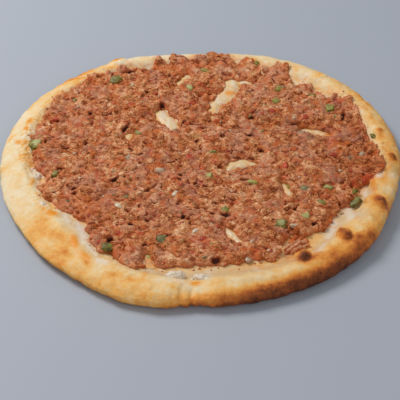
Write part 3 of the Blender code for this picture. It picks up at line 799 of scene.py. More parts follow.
# Browned spots: x, y, length, width in mm, the bearing of the length, and the toast they add.
TOAST_SPOTS = (
    (-101, -60, 6, 5, 0, 0.26), (-84, -90, 13, 4, -75, 0.26), (-75, -108, 12, 5, -60, 0.28),
    (-98, -82, 26, 14, -55, 0.17), (-110, -70, 18, 12, -60, 0.12), (-88, -98, 14, 8, -50, 0.16),
    (-57, -121, 14, 6, -20, 0.14), (-44, -126, 14, 6, -10, 0.16), (-95, -60, 8, 4, -60, -0.10),
    (-36, -118, 6, 5, 0, 0.16), (-4, -125, 5, 4, 0, 0.20), (-118, -27, 12, 4, 88, 0.22),
    (-20, -131, 16, 5, 0, 0.12), (0, -130, 30, 8, 0, -0.04), (-103, -48, 6, 4, 60, 0.10),
    (67, -103.8, 13.5, 9.5, 30, 0.48), (62.5, -105.5, 11, 8, 10, 0.14),
    (75, -101, 16, 10, 30, 0.12), (95, -83, 9, 8, 0, 0.38), (91, -77, 13, 10, 60, 0.26),
    (105, -83, 20, 13, 45, 0.27), (112, -77, 8, 8, 50, 0.14), (86, -95, 30, 9, 38, 0.16),
    (119, -46.5, 15, 12, -35, 0.54), (117, -34, 10, 4, 80, 0.14), (124, -52, 12, 8, -60, 0.18),
    (125, -24, 26, 8, 82, 0.03), (130, -15, 14, 8, 80, -0.08), (122, -17, 10, 6, 80, 0.12),
    (118, -24, 26, 2.6, 86, 0.22), (111, -45, 3, 12, 0, 0.16), (88, 101, 7, 6, 0, 0.20),
    (114, 75, 7, 6, 0, 0.24), (118, 61, 24, 6, -70, 0.12), (126.5, 33.5, 6, 5, 20, 0.36),
    (126, 28, 12, 7, 80, 0.14), (133, 5, 10, 8, 70, 0.48), (129, -4, 10, 6, 80, 0.12),
    (118, 71, 34, 4, -60, 0.12), (-115, 85, 12, 2.4, 40, 0.24), (-105, 93, 14, 2.4, 25, 0.26),
    (-93, 95.5, 12, 2.2, 5, 0.26), (134, 45, 40, 6, -78, 0.08), (-127, 41, 8, 4, 80, 0.26),
    (-128, 32, 3.4, 3.4, 0, 0.36), (-133, 17, 6, 4, 80, 0.30), (-128, 15, 8, 4, 80, 0.24),
    (-125, 10, 10, 4, 80, 0.20), (-138, 22, 12, 2.4, 60, 0.22), (-127, 62, 14, 3, 75, 0.14),
    (-129, 2, 6, 6, 0, 0.12), (-97, 99, 22, 8, 45, 0.18), (-85, 108, 12, 6, 20, 0.20),
    (-72, 111, 9, 5, 10, 0.30), (-67, 121, 15, 6, 20, 0.56), (-72, 126, 14, 5, 20, 0.26),
    (-95, 104, 24, 6, 40, 0.16), (-140, 35, 5, 4, 80, 0.40), (38, 123, 12, 3, -20, 0.20),
    (86, 90, 14, 2.6, -42, 0.24), (70, 103, 10, 2.4, -42, 0.16), (40, -128, 30, 5, 12, 0.06),
    (84, -100, 20, 6, 35, 0.10), (-122, -6, 14, 5, 85, 0.12))


# %% The toast of each point
def spots(x, y, places):
    """Soft ovals of the given amounts, added up."""
    total = np.zeros_like(x)
    for *place, amount in places:
        total += amount * np.exp(-1.4 * oval(x, y, *place) ** 2)
    return total


def toast_of(x, y, share, bearing):
    table = np.array(TOAST_ROUND)
    levels = [np.interp(bearing, table[:, 0], table[:, level], period=360) for level in range(1, 5)]
    toast = levels[0]
    for start, end, low, high in zip(TOAST_LEVELS, TOAST_LEVELS[1:], levels, levels[1:]):
        toast = toast + (high - low) * ease((share - start) / (end - start))
    patchy = 0.12 * waves(x, y, 11.0, 92.0) + 0.08 * waves(x, y, 4.5, 93.0)
    patchy *= 1 - 0.6 * ease((toast - 0.4) / 0.3)
    toast = toast + 0.26 * (crust_lace - 0.15) * crust_band + patchy
    toast = np.where(share < 3, toast + spots(x, y, TOAST_SPOTS) * (share < 2.6), 0)
    under = 0.34 + 0.5 * ease((waves(x, y, 11.0, 80.0) + 0.05) / 0.35)
    return np.where(share < 3, toast, under)


crust_toast = toast_of(skin_x, skin_y, skin_share, skin_bearing)
print("toast from", float(crust_toast.min().round(2)), "to", float(crust_toast.max().round(2)))

# %% [markdown]
# ## Juice and oil on the dough
# Meat gives off juice and orange oil while it bakes. The dough beside it stays wet and pale, a
# little grey, and shines. In places it is whiter still, partly its own milky colour and partly a
# painted sheen on the wet dough. Oil collects in a few small pools and stains. Three more values
# carry that: moist, milk and oil. A soft-edged brush along named strokes lays down the first two,
# and oil is named spot by spot.

# %% Moist and oily places
# Wet strokes: two ends, half width in mm and strength.
WET_STROKES = (
    (-94, -54, -86, -70, 4.5, 0.8), (-83, -66, -74, -88, 6.5, 1.0), (-77, -86, -69, -103, 4.0, 0.9),
    (0, -112, 40, -110, 9.0, 0.9), (40, -110, 58, -103, 6.5, 0.8), (-28, -115, 2, -116, 6.0, 0.9),
    (-35, -98, -34, -114, 4.5, 1.2), (84, -70, 96, -50, 7.0, 0.9), (98, -46, 107, -60, 6.0, 0.8),
    (74, -92, 84, -76, 5.5, 0.8), (111, -18, 113, -40, 4.0, 0.9), (122, -16, 123, -12, 3.0, 0.8),
    (-60, 112, -88, 88, 3.0, 0.4), (52, -96, 60, -82, 6.0, 0.8))
# Milky strokes, where the dough is painted whiter, partly its own colour and partly a painted sheen: two
# ends, half width and strength.
MILKY_STROKES = (
    (89, -57, 84, -76, 2.8, 0.9), (99, -42, 101, -58, 2.9, 0.8), (76, -94, 80, -86, 2.0, 0.7),
    (-95, -53, -90, -66, 2.4, 0.8), (-84, -66, -76, -88, 2.8, 1.0), (-74, -92, -69, -102, 1.8, 0.7),
    (-67, -108, -62, -109, 2.4, 0.9), (4, -110, 6, -122, 1.8, 0.35),
    (35, -106, 37, -115, 2.2, 0.45), (122, -18, 123, -13, 2.2, 1.0), (111, -20, 113, -38, 2.2, 0.8),
    (-118, -10, -117, -18, 2.2, 0.8), (-36, -98, -33, -114, 1.6, 0.25),
    (-108, -49, -108, -51, 2.4, 0.7), (124, -60, 130, -46, 3.0, 0.2),
    (-24, -124, -10, -128, 2.2, 0.4), (-30, 122, -10, 124, 2.0, 0.3))
# Oil: x, y, length, width, bearing and strength.
OIL_SPOTS = (
    (19, 86, 9, 6, 0, 1.4), (90, 37, 7, 5, 0, 1.4), (-3.5, -125.5, 8, 5, 10, 1.7),
    (-101, -59.5, 8, 7, 0, 1.8), (-83.5, -89, 16, 5, -75, 1.7), (-75, -104, 14, 5, -55, 1.2),
    (130, -14, 20, 7, 84, 0.25), (-127, 41, 7, 4, 80, 1.2), (-128, 32, 4, 4, 0, 1.5),
    (-132, 16, 5, 5, 80, 1.2), (-128, 16, 6, 3, 80, 0.6), (-125, 10, 8, 3, 80, 0.5),
    (38, -107, 8, 5, 80, 0.5), (118, -24, 24, 2.6, 86, 0.8), (126, -20, 20, 5, 82, 0.5),
    (-36, -118, 8, 4, 80, 0.35), (72, 102, 12, 3, -50, 0.3), (103, -62, 8, 3, 80, 0.4),
    (-118, -27, 10, 3, 88, 0.7), (93, -70, 8, 4, 80, 0.6), (72, -91, 8, 4, 50, 0.3),
    (-96, 99, 16, 6, 45, 0.35), (-72, 111, 8, 4, 10, 0.6), (88, -95, 12, 4, 30, 0.3),
    (105, -66, 10, 3, 85, 0.3), (-9, -121, 8, 4, 0, 0.3), (-48, -113, 10, 3, 0, 0.3),
    (38, 122, 10, 2.6, -20, 0.4), (132, 2, 8, 3, 80, 0.5))


# %% Brushes for moisture and oil
WAVER = 1.2  # in mm


def brushed(x, y, strokes):
    """Soft brush strokes, of which the strongest shows. The hand wavers a little."""
    x, y = (v + WAVER * waves(x, y, 4.0, layer) for v, layer in ((x, 61.0), (y, 62.0)))
    wet = np.zeros_like(x)
    for *ends, half_width, strength in strokes:
        wet = np.maximum(wet, strength * np.exp(-(stroke(x, y, *ends)[0] / half_width) ** 2))
    return wet


def moisture_of(x, y, share):
    """Wet strokes, and a damp strip all along the meat, which has dried at the far left."""
    beside_meat = 0.55 * ease((meat_reach(x, y) + 7) / 6) * (0.7 + 0.6 * waves(x, y, 12.0, 60.0))
    beside_meat *= 1 - 0.85 * bump(polar(x, y)[1], 172, 14)
    return np.maximum(np.clip(beside_meat, 0, 1), brushed(x, y, WET_STROKES)) * (share < 1.6)


def oil_of(x, y, share):
    """Named pools, and oil that has crept along the flaky strip beside the meat."""
    crept = 0.5 * ease((waves(x, y, 5.0, 63.0) - 0.05) / 0.3) * ease((meat_reach(x, y) + 8) / 5)
    return np.clip(spots(x, y, OIL_SPOTS) + crept, 0, 1.15) * (share < 2)


crust_moist = moisture_of(skin_x, skin_y, skin_share)
for blister in BLISTERS[:BROWNED_BLISTERS]:
    crust_moist *= 1 - on_blister(skin_x, skin_y, blister) ** 0.5
crust_moist *= 1 - ease((crust_toast - 0.5) / 0.3)  # what is browned is dry
crust_oil = oil_of(skin_x, skin_y, skin_share)
crust_milk = brushed(skin_x, skin_y, MILKY_STROKES) * (skin_share < 1.8)
print("moist share of the top:", float((crust_moist > 0.4).mean().round(3)))

# %% [markdown]
# ## Crust material
# A colour ramp turns toast into the colours of baked dough. Photographs of bread tempt one to
# paint it orange: the pale parts are a warm cream, and only the hot side goes through orange
# to brown. Blotches and freckles vary the toast before the ramp, so they are always a browner
# or a paler crust and never a foreign colour.

# %% Colours of baked dough
DOUGH_COLOURS = ((0.00, srgb(242, 230, 206)), (0.14, srgb(240, 217, 176)), (0.28, srgb(240, 201, 140)),
                 (0.42, srgb(240, 180, 98)), (0.56, srgb(228, 148, 64)), (0.70, srgb(194, 108, 46)),
                 (0.84, srgb(138, 72, 34)), (1.00, srgb(80, 40, 24)))
WET_DOUGH = srgb(216, 184, 142)
# Whiter dough: partly its own colour, partly a painted sheen on the wet dough.
MILKY_DOUGH = srgb(238, 226, 210)
OIL_ORANGE = srgb(238, 152, 44)


def crust_colour(tree):
    blotches = use(tree, UNEVEN, Size=13.0, Spread=0.17)["Value"]
    mottling = use(tree, UNEVEN, Size=2.4, Spread=0.17)["Value"]
    freckles = use(tree, FRECKLES, Size=1.8, Share=0.35)["Mask"]
    toast = painted(tree, "toast")
    browned = calc(tree, "MULTIPLY", freckles, calc(tree, "MULTIPLY", toast, 0.18))
    total = calc(tree, "ADD", calc(tree, "ADD", toast, browned), calc(tree, "ADD", blotches, mottling))
    colour = ramp(tree, total, DOUGH_COLOURS)
    for name, strength, over in (("moist", 0.8, WET_DOUGH), ("milk", 0.85, MILKY_DOUGH),
                                 ("oil", 0.85, OIL_ORANGE)):
        colour = stained(tree, colour, name, strength, over)
    return colour


def crust_moist_of(tree):
    oily = calc(tree, "MULTIPLY", painted(tree, "oil"), 0.2)
    return calc(tree, "ADD", painted(tree, "moist"), oily, True)


CRUST = finish_material("baked_dough", crust_colour, crust_moist_of, dry=0.65, wet=0.3, shine=0.4,
                        grain=1.2, pits=0.5, relief=0.2, through=0.12, soft=(3.0, 1.6, 0.8),
                        gleam=0.2)


# %% The crust as one mesh
def make_crust():
    """The skin as one closed mesh: the rings, and a fan at the middle above and below."""
    rings, turns = skin_share.shape
    points = np.concatenate([crust_skin.reshape(-1, 3), [(0, 0, BED_HEIGHT), (0, 0, 0)]])
    faces = lattice_faces(rings, turns)
    last = (rings - 1) * turns
    faces += [(turn, (turn + 1) % turns, rings * turns) for turn in range(turns)]
    faces += [(last + (turn + 1) % turns, last + turn, rings * turns + 1) for turn in range(turns)]
    paint = {name: np.append(values.ravel(), (values[0, 0], values[-1, 0]))
             for name, values in (("toast", crust_toast), ("moist", crust_moist), ("oil", crust_oil),
                                  ("milk", crust_milk))}
    return new_piece("crust", points, faces, CRUST, paint, ["bread"])


make_crust()

# %% [markdown]
# ## Height of the meat
# Minced meat is a pile of crumbs that have baked together. Its surface is built in layers. The
# first is the layer itself, following the dough, thin at its edge, with broad clumps. On it lie
# uneven crumbs, one in each cell of a loose lattice, and on those lie grains. Where two overlap
# the higher one shows, which is what a pile does. Baking melts the fat and rounds everything
# off, so the finished surface is softened a little. Then crevices between clumps and short
# cracks are cut into it. A noise texture alone would be quicker, but it gives hills and not
# crumbs.

# %% The meat without its crumbs
MEAT_THICKNESS, MEAT_EDGE_THICKNESS, MEAT_EDGE_WIDTH = 4.6, 1.8, 5
MEAT_THINNING, MEAT_BURIED, MEAT_GAP = 0.35, 2.2, 0.3
CLUMP_HEIGHT, CLUMP_LENGTH = 0.9, 16
CREVICE_DEPTH = 2.6
EDGE_CRUMBLES = 1.2  # how far a crumb 1 mm high pushes the outer edge out
GAP_CRUMBLES, GAP_RAGGED = 0.8, 2.4  # the same at the edge of a gap, and how far that edge wanders
# Crevices between clumps, cut in and painted with shade: x, y, length and width in mm, and the bearing
# of the length.
CREVICES = (
    (35, 52, 6, 4, 20), (66, 45, 8, 6, 0), (87, 42, 4, 3, 0), (102, 55, 12, 3, 85),
    (-57, 108, 9, 5, 25), (-31, 66, 6, 5, 80), (-62, -23, 11, 4, 50), (-55, -21, 4, 3, 0),
    (-88, -33, 5, 3, 30), (-88, -39, 4, 3, 0), (-100, -12, 5, 3, 0), (-104, -20, 4, 3, 90),
    (-13, -61, 6, 3, 85), (-37, -65, 4, 3, 0), (-48, -70, 4, 3, 0), (-61, -87, 11, 4, 75),
    (-38, -90, 5, 3, 60), (8, -48, 4, 3, 0), (15, -58, 8, 4, 0), (9, -103, 7, 5, 0),
    (36, -102, 10, 5, 10), (-5, 22, 5, 3, 50), (0, 38, 5, 3, 0), (32, 31, 4, 3, 0),
    (41, 13, 4, 3, 0), (104, 21, 5, 3, 60), (-57, 37, 8, 3, 50), (-83, 52, 5, 3, 40),
    (-42, 82, 5, 3, 0), (-44, 5, 4, 2.5, 0), (-52, 11, 4, 2.5, 0), (-15, 44, 5, 3, 40),
    (-98, 12, 5, 3, 0), (-21, -3, 9, 2.2, 0), (-43, -4, 5, 2.4, 0), (-6, -26, 4, 3, 0),
    (2, -29, 4, 3, 0), (30, -20.5, 10, 1.8, 5), (-16, -16, 4, 2.5, 0), (25, 6.9, 11, 2.6, 12),
    (33, 5.4, 8, 2.2, -16), (-53, -92, 8, 2.6, 0), (-44, 63, 5, 2.4, 0))
CRACK_LENGTH, CRACK_WIDTH, CRACK_DEPTH = 9.0, 0.09, 1.3


# %% Crevices, cracks and the ground under the crumbs
def crevice(x, y):
    """1 in the middle of a crevice, fading to 0 at its rim."""
    rough_x, rough_y = x + 0.9 * ragged_x, y + 0.9 * ragged_y
    return np.max([np.exp(-1.6 * oval(rough_x, rough_y, *place) ** 2) for place in CREVICES], axis=0)


def painted_light_falloff(x, y):
    """Painted light and shade: lighter at the back and darker on the right, as the light from the upper
    left falls off across the meat.
    """
    return 0.09 * ease((y - 60) / 60) - 0.11 * ease((x - 40) / 60) * ease((70 - y) / 60)


def cracks(x, y):
    """1 along short fine cracks between crumbs, which are cut in and painted with shade. Most of them
    run across the view.
    """
    line = ease(1 - np.abs(waves(x, 1.6 * y, CRACK_LENGTH, 70.0)) / CRACK_WIDTH)
    return line * ease(waves(x, y, 9.0, 71.0) / 0.25)


def meat_ground(x, y, crumbs):
    """Height of the meat before its crumbs, and the distance to its nearest edge.

    High crumbs hold the edge and low places give way, so the edge has the form of crumbs."""
    outer = meat_reach(x, y) + EDGE_CRUMBLES * crumbs
    gap = gap_reach(x, y) + GAP_CRUMBLES * crumbs + GAP_RAGGED * waves(x, y, 4.5, 56.0)
    reach = np.minimum(outer, gap) + 0.6 * ragged_x
    full = ease(reach / MEAT_EDGE_WIDTH)
    dough = dough_top(x, y)
    middle = MEAT_THICKNESS - (dough - BED_HEIGHT) * MEAT_THINNING
    thickness = MEAT_EDGE_THICKNESS + (middle - MEAT_EDGE_THICKNESS) * full
    clump = CLUMP_HEIGHT * full * waves(x, y, CLUMP_LENGTH, 20.0)
    return np.where(reach < 0, dough - MEAT_BURIED, dough + MEAT_GAP + thickness + clump), reach


# %% [markdown]
# ## The lattice that the meat is sampled on
# The surface is sampled on a close lattice of triangles, 0.7 mm apart, which is finer than any
# grain. Where there is no meat it dives under the dough, so its edge is drawn by the crumbs
# themselves and the sheet's own border is never seen. Rows and columns stay a full table until
# the end, because a table is easy to soften by averaging neighbours.

# %% Rows of places and the triangles between them
MEAT_STEP = 0.715
MEAT_SPAN = 134


def triangle_lattice(step, half):
    """Places on rows that are shifted by half a step, and the triangles between them."""
    row_step = step * math.sqrt(3) / 2
    rows, columns = int(2 * half / row_step), int(2 * half / step)
    row, column = np.meshgrid(np.arange(rows), np.arange(columns), indexing="ij")
    x = (column + 0.5 * (row % 2)) * step - half
    y = row * row_step - half
    here = (row * columns + column)[:-1, :-1]
    even = (row % 2 == 0)[:-1, :-1]
    right, above, beyond = here + 1, here + columns, here + columns + 1
    first = np.stack([here, right, np.where(even, above, beyond)], -1)
    second = np.stack([np.where(even, right, here), beyond, above], -1)
    return x, y, np.concatenate([first.reshape(-1, 3), second.reshape(-1, 3)])


def kept_only(keep, faces):
    """Drops the points that aren't kept and renumbers the faces."""
    faces = faces[keep[faces].all(axis=1)]
    used = np.unique(faces)
    renumber = np.zeros(len(keep), dtype=int)
    renumber[used] = np.arange(len(used))
    return used, renumber[faces]


def soften(values, times):
    """Averages each value of a table with its neighbours."""
    for _ in range(times):
        for axis in (0, 1):
            values = (np.roll(values, 1, axis) + 2 * values + np.roll(values, -1, axis)) / 4
    return values


table_x, table_y, table_faces = triangle_lattice(MEAT_STEP, MEAT_SPAN)
table_y += MEAT_MIDDLE[1]
ragged_x, ragged_y = (waves(table_x, table_y, 2.6, layer) for layer in (5.0, 15.0))
print("meat table:", table_x.shape)


# %% Layers of crumbs
CRUMB_REACH = 150


def scatter(seed, spacing, long_half, roundness, height, lift, missing):
    """One crumb in each cell of a lattice: place, size, turn, height, lift and a tint."""
    draw = np.random.default_rng(seed)
    columns = int(2 * CRUMB_REACH / spacing) + 1
    row, column = np.meshgrid(np.arange(columns), np.arange(columns), indexing="ij")
    size = (columns, columns)
    crumbs = {"spacing": spacing,
              "x": (column + draw.uniform(0.05, 0.95, size)) * spacing - CRUMB_REACH,
              "y": (row + draw.uniform(0.05, 0.95, size)) * spacing - CRUMB_REACH,
              "long": draw.uniform(*long_half, size), "turn": draw.uniform(0, np.pi, size),
              "height": draw.uniform(*height, size), "lift": draw.uniform(*lift, size),
              "tint": draw.uniform(0, 1, size), "there": draw.uniform(0, 1, size) > missing}
    crumbs["short"] = crumbs["long"] * draw.uniform(*roundness, size)
    return crumbs


def cover(x, y, ground, tint, crumbs):
    """Raises the ground wherever a crumb's rounded top stands above it."""
    column = ((x + CRUMB_REACH) / crumbs["spacing"]).astype(int)
    row = ((y + CRUMB_REACH) / crumbs["spacing"]).astype(int)
    rise, covered = np.zeros_like(x), tint
    for step_x in (-1, 0, 1):
        for step_y in (-1, 0, 1):
            cell = row + step_y, column + step_x
            turn, long, short = (crumbs[name][cell] for name in ("turn", "long", "short"))
            along, across = turned(x - crumbs["x"][cell], y - crumbs["y"][cell], turn)
            inside = 1 - (along / long) ** 2 - (across / short) ** 2
            top = crumbs["lift"][cell] + crumbs["height"][cell] * np.sqrt(np.clip(inside, 0, 1))
            wins = (inside > 0) & crumbs["there"][cell] & (top > rise)
            rise, covered = np.where(wins, top, rise), np.where(wins, crumbs["tint"][cell], covered)
    return ground + rise, covered


# %% Pile up the crumbs and soften them
# Seed, spacing, half length, roundness, height and lift in mm, and the share that is missing.
CLODS = scatter(10, 8.0, (3.2, 6.0), (0.6, 0.9), (1.0, 2.3), (-1.0, 0.1), 0.35)
CRUMBS = scatter(11, 4.4, (1.9, 3.8), (0.55, 0.95), (0.8, 1.6), (-0.8, 0.1), 0.15)
GRAINS = scatter(12, 2.1, (0.8, 1.7), (0.5, 0.95), (0.3, 0.6), (-0.3, 0.1), 0.4)
PITS = scatter(13, 4.6, (0.8, 1.7), (0.4, 0.8), (1.2, 2.2), (0.0, 0.0), 0.5)


def pile_up(x, y):
    """How high the pile stands over the meat's ground, before softening, and its tint."""
    rough_x = x + 1.1 * ragged_x + 0.45 * waves(x, y, 1.3, 25.0)
    rough_y = y + 1.1 * ragged_y + 0.45 * waves(x, y, 1.3, 35.0)
    tint = np.full_like(x, 0.5)
    height, clod_tint = cover(rough_x, rough_y, np.zeros_like(x), tint, CLODS)
    height = soften(height, 2)
    height, crumb_tint = cover(rough_x, rough_y, height, tint, CRUMBS)
    height, grain_tint = cover(rough_x, rough_y, height, crumb_tint, GRAINS)
    pit, _ = cover(rough_x, rough_y, np.zeros_like(x), tint, PITS)
    height += 0.5 * waves(x, y, 1.6, 45.0) + 0.6 * waves(x, y, 3.4, 46.0) - pit
    tint = 0.15 + 0.2 * clod_tint + 0.25 * crumb_tint + 0.25 * grain_tint + 0.3 * waves(x, y, 3.0, 47.0)
    return soften(height, 2) - height.mean(), tint


# %% The tables of the meat
table_pile, table_tint = pile_up(table_x, table_y)
table_ground, table_reach = meat_ground(table_x, table_y, table_pile)
table_fade = ease((table_reach + 0.6) / 3)
table_deep = crevice(table_x, table_y)
table_crack = cracks(table_x, table_y)
table_pile = table_pile * (0.5 + 0.5 * table_fade)
table_z = table_ground + table_pile - ease(table_reach / 2) * np.maximum(
    CREVICE_DEPTH * table_deep, CRACK_DEPTH * table_crack)
table_z = np.minimum(table_z, box_high[2] - 0.15 - 0.5 * np.abs(ragged_x))  # inside the solids' box
# Painted light and shade: hollows below their neighbours' average get painted shade through the depth
# paint, and raised places a lighter tint.
below_average = soften(table_z, 16) - table_z
table_hollow = np.clip(below_average - 0.1, 0, 1)
table_tint = soften(table_tint, 1) + 0.08 * np.clip(-below_average, -1, 1.2)
# Painted light and shade: lighter at the back of the meat, darker on its right.
table_tint += painted_light_falloff(table_x, table_y)
print("pile from", table_pile.min().round(1), "to", table_pile.max().round(1), "hollow share:",
      float((table_hollow > 0.3).mean().round(3)))


def look_up(x, y, *tables):
    """The values of tables at places, from the nearest point of the lattice."""
    rows, columns = table_x.shape
    row = np.rint((y - table_y[0, 0]) / (table_y[1, 0] - table_y[0, 0]))
    row = np.clip(row, 0, rows - 1).astype(int)
    column = np.rint((x - table_x[row, 0]) / MEAT_STEP)
    column = np.clip(column, 0, columns - 1).astype(int)
    return [table[row, column] for table in tables]


# %% [markdown]
# ## Meat material
# Cooked minced meat is a pinkish brown. Every crumb has its own tone, and thin edges and a few
# patches are orange with oil. Cracks, crevices and hollows carry painted shade, raised places are
# painted a little lighter, and the whole layer is painted lighter at the back and darker on the
# right as the light falls on it. Crumbs carry their tone as a tint, so a colour changes at a
# crumb's edge and not in the middle of it. Red patches come from peppers and paste, grey ones from
# onion, olive ones from herbs. Those that stand out are named, and the rest is left to noise.

# %% Colours and patches of cooked meat
MEAT_COLOURS = ((0.00, srgb(124, 58, 22)), (0.14, srgb(162, 86, 40)), (0.34, srgb(190, 113, 65)),
                (0.54, srgb(208, 136, 86)), (0.74, srgb(223, 160, 113)), (0.94, srgb(240, 196, 152)))
# Painted shade for hollows, crevices, cracks and the undersides of crumbs, nearly black in the deepest
# places.
MEAT_SHADE = srgb(145, 63, 20)
MEAT_DARK = srgb(60, 16, 2)
MEAT_OILY = srgb(206, 100, 30)
MEAT_GREY = srgb(198, 142, 118)
MEAT_OLIVE = srgb(168, 126, 60)
MEAT_RED = srgb(192, 66, 32)
# Patches where oil stained the meat: x, y, length, width, bearing and strength.
OILY_MEAT = (
    (-77, -52, 34, 22, -50, 0.8), (-52, -97, 20, 16, 60, 0.8), (-25, 114, 50, 12, 5, 0.7),
    (5, 118, 40, 8, 5, 0.6), (3, 74, 8, 12, 80, 0.8), (112, -6, 20, 14, 60, 0.6),
    (60, 60, 20, 10, 30, 0.3), (-45, 60, 14, 10, 30, 0.4), (-36, 32, 20, 8, 20, 0.4),
    (10, -95, 30, 10, 5, 0.4), (95, -40, 18, 8, 0, 0.6), (-20, -20, 12, 10, 0, 0.4),
    (-80, 93, 16, 10, 40, 0.6), (62, -84, 18, 12, 30, 0.8), (94, 20, 14, 8, 0, 0.5),
    (-36, -6, 10, 8, 0, 0.9), (-44, -67, 7, 4, 0, 0.9), (-76, -71, 12, 5, 0, 0.9),
    (-90, -47, 14, 12, 0, 0.6), (112, 41, 6, 12, 0, 0.9), (88, 45, 10, 4, 0, 0.8),
    (-4, 118, 14, 8, 0, 0.7), (8, 127, 10, 6, 0, 0.8), (-53, 63, 6, 5, 0, 1.0),
    (-44, 63, 6, 5, 0, 0.9), (-49, 77, 6, 4, 0, 0.7), (-107, 26, 8, 7, 0, 0.8),
    (-63, 115, 14, 8, 10, 0.9), (3, 78, 8, 9, 0, 0.9))
# Red, greyish and olive patches in the same way, all as wide as they are long.
RED_MEAT = (
    (-10, 2, 8), (-18, -21, 8), (-1, -10, 5), (22, -47, 7), (-12, 43, 7), (32, 37, 6), (7, 13, 5),
    (-55, -80, 7), (-53, -91, 8), (1, -85, 10), (-41, -79, 6), (98, 72, 6), (92, 26, 9), (92, 8, 7),
    (118, 9, 10), (114, -15, 12), (57, -16, 7), (54, -6, 6), (71, 52, 5), (61, 33, 6), (-9, 69, 7),
    (3, 72, 6), (76, 95, 8), (51, 61, 6), (-108, 43, 8), (-85, 83, 8), (-87, 94, 6), (-40, 54, 6),
    (-72, -100, 6), (-60, -100, 8), (60, -78, 8), (35, -95, 10), (104, -22, 8))
GREY_MEAT = ((73, 27, 17), (58, 9, 10), (100, 55, 10), (87, -29, 8), (-66, -77, 10), (-69, -89, 10),
             (-89, -55, 9), (-93, 43, 20), (-105, 55, 10), (-88, 27, 12), (32, 86, 10), (19, 114, 9),
             (-11, -28, 10), (-32, -45, 12), (-51, -34, 12), (11, 32, 20), (-29, -12, 9), (-2, -26, 8))
OLIVE_MEAT = ((-53, -10, 9), (4, -19, 7), (7, 9, 9), (-6, 28, 8), (34, -27, 6), (0, 111, 9),
              (57, 86, 10), (80, 82, 7), (55, -22, 11), (-62, -63, 8), (-35, -97, 6), (-55, 89, 7),
              (-57, 74, 6), (104, -36, 7))


# %% Oil, grey and red on the meat
def oil_on_meat(x, y, reach):
    patches = spots(x, y, OILY_MEAT)
    thin_edge = 0.5 * (1 - ease(reach / 5))
    flecks = 0.9 * ease((waves(x, y, 5.0, 44.0) - 0.12) / 0.35)
    return np.clip(patches + thin_edge + flecks, 0, 1)


def round_patches(x, y, patches, strength):
    """Soft ragged patches, each given by its middle and its size."""
    x, y = x + 1.6 * ragged_x, y + 1.6 * ragged_y
    ovals = [(*where, size, size * 0.7, 0, strength) for *where, size in patches]
    return np.clip(spots(x, y, ovals), 0, 1)


def grey_on_meat(x, y):
    strewn = 0.8 * ease((waves(x, y, 10.0, 54.0) + 0.1) / 0.5)
    return np.maximum(strewn, round_patches(x, y, GREY_MEAT, 1.2))


def red_on_meat(x, y):
    strewn = 0.75 * ease((waves(x, y, 3.6, 55.0) - 0.3) / 0.2)
    return np.maximum(strewn, round_patches(x, y, RED_MEAT, 1.1))


# %% The meat's material
def meat_colour(tree):
    # Grit: each grain's own tone, with painted light in its middle and painted shade in the seams.
    grains = calc(tree, "ADD", use(tree, GRIT, Size=0.95, Own=0.5, Seams=0.7)["Tone"],
                  use(tree, GRIT, Size=3.0, Own=0.2, Seams=0.3)["Tone"])
    patches = calc(tree, "ADD", use(tree, UNEVEN, Size=9.0, Spread=0.45)["Value"],
                   use(tree, UNEVEN, Size=24.0, Spread=0.3)["Value"])
    tone = calc(tree, "ADD", painted(tree, "tint"), calc(tree, "ADD", grains, patches))
    greyish = stained(tree, ramp(tree, tone, MEAT_COLOURS), "grey", 0.5, MEAT_GREY)
    herb = calc(tree, "MULTIPLY", use(tree, FRECKLES, Size=5.5, Share=0.14)["Mask"], 0.55)
    olive = calc(tree, "MAXIMUM", herb, calc(tree, "MULTIPLY", painted(tree, "olive"), 0.6))
    colour = mix(tree, olive, greyish, MEAT_OLIVE)
    # Red and oil are the meat's own colours; depth is painted shade, and the deepest places are painted
    # nearly black.
    for name, strength, over in (("red", 0.68, MEAT_RED), ("oil", 0.6, MEAT_OILY),
                                 ("depth", 1.8, MEAT_SHADE)):
        colour = stained(tree, colour, name, strength, over)
    deepest = calc(tree, "MULTIPLY_ADD", painted(tree, "depth"), 2.2, True, -1.2)
    return mix(tree, deepest, colour, MEAT_DARK)


def meat_moist(tree):
    patches = use(tree, UNEVEN, Size=4.0, Spread=0.8)["Value"]
    oily = calc(tree, "MULTIPLY", painted(tree, "oil"), 0.4)
    return calc(tree, "ADD", calc(tree, "ADD", 0.1, patches), oily, True)


MEAT = finish_material("minced_meat", meat_colour, meat_moist, dry=0.8, wet=0.42, shine=0.15,
                       grain=1.0, pits=0.8, relief=0.3, through=0.1, soft=(2.0, 0.8, 0.5),
                       gleam=0.22)

# %% The sheet of meat
# Painted shade: crevices, cracks and hollows darken the meat through the depth paint.
cut = ease((table_reach + 0.5) / 2) * np.maximum(1.5 * table_deep, 0.8 * table_crack)
table_depth = np.clip(0.6 * table_hollow + cut, 0, 1)
MEAT_PAINT = {"tint": table_tint, "depth": table_depth,
              "oil": oil_on_meat(table_x, table_y, table_reach),
              "grey": grey_on_meat(table_x, table_y), "red": red_on_meat(table_x, table_y),
              "olive": round_patches(table_x, table_y, OLIVE_MEAT, 1.1)}
MEAT_BORDER = -1.9


def make_meat():
    """Keeps the part of the table where there is meat, and a border that dives below the dough."""
    used, faces = kept_only(table_reach.ravel() > MEAT_BORDER, table_faces)
    points = np.stack([table.ravel()[used] for table in (table_x, table_y, table_z)], -1)
    paint = {name: table.ravel()[used] for name, table in MEAT_PAINT.items()}
    return new_piece("meat", points, faces, MEAT, paint, ["minced_meat"])


make_meat()

# %% [markdown]
# ## Dough in the gaps
# Where the meat parts, the dough below has risen through as a low bubble. It is pale on top, and
# darker and oily where it dives under the crumbs; that darker border is partly tan dough and partly
# painted shade from the meat around it. The skin of the crust is too coarse so far from the rim,
# so the bubbles get their own finer skin from the same table as the meat.

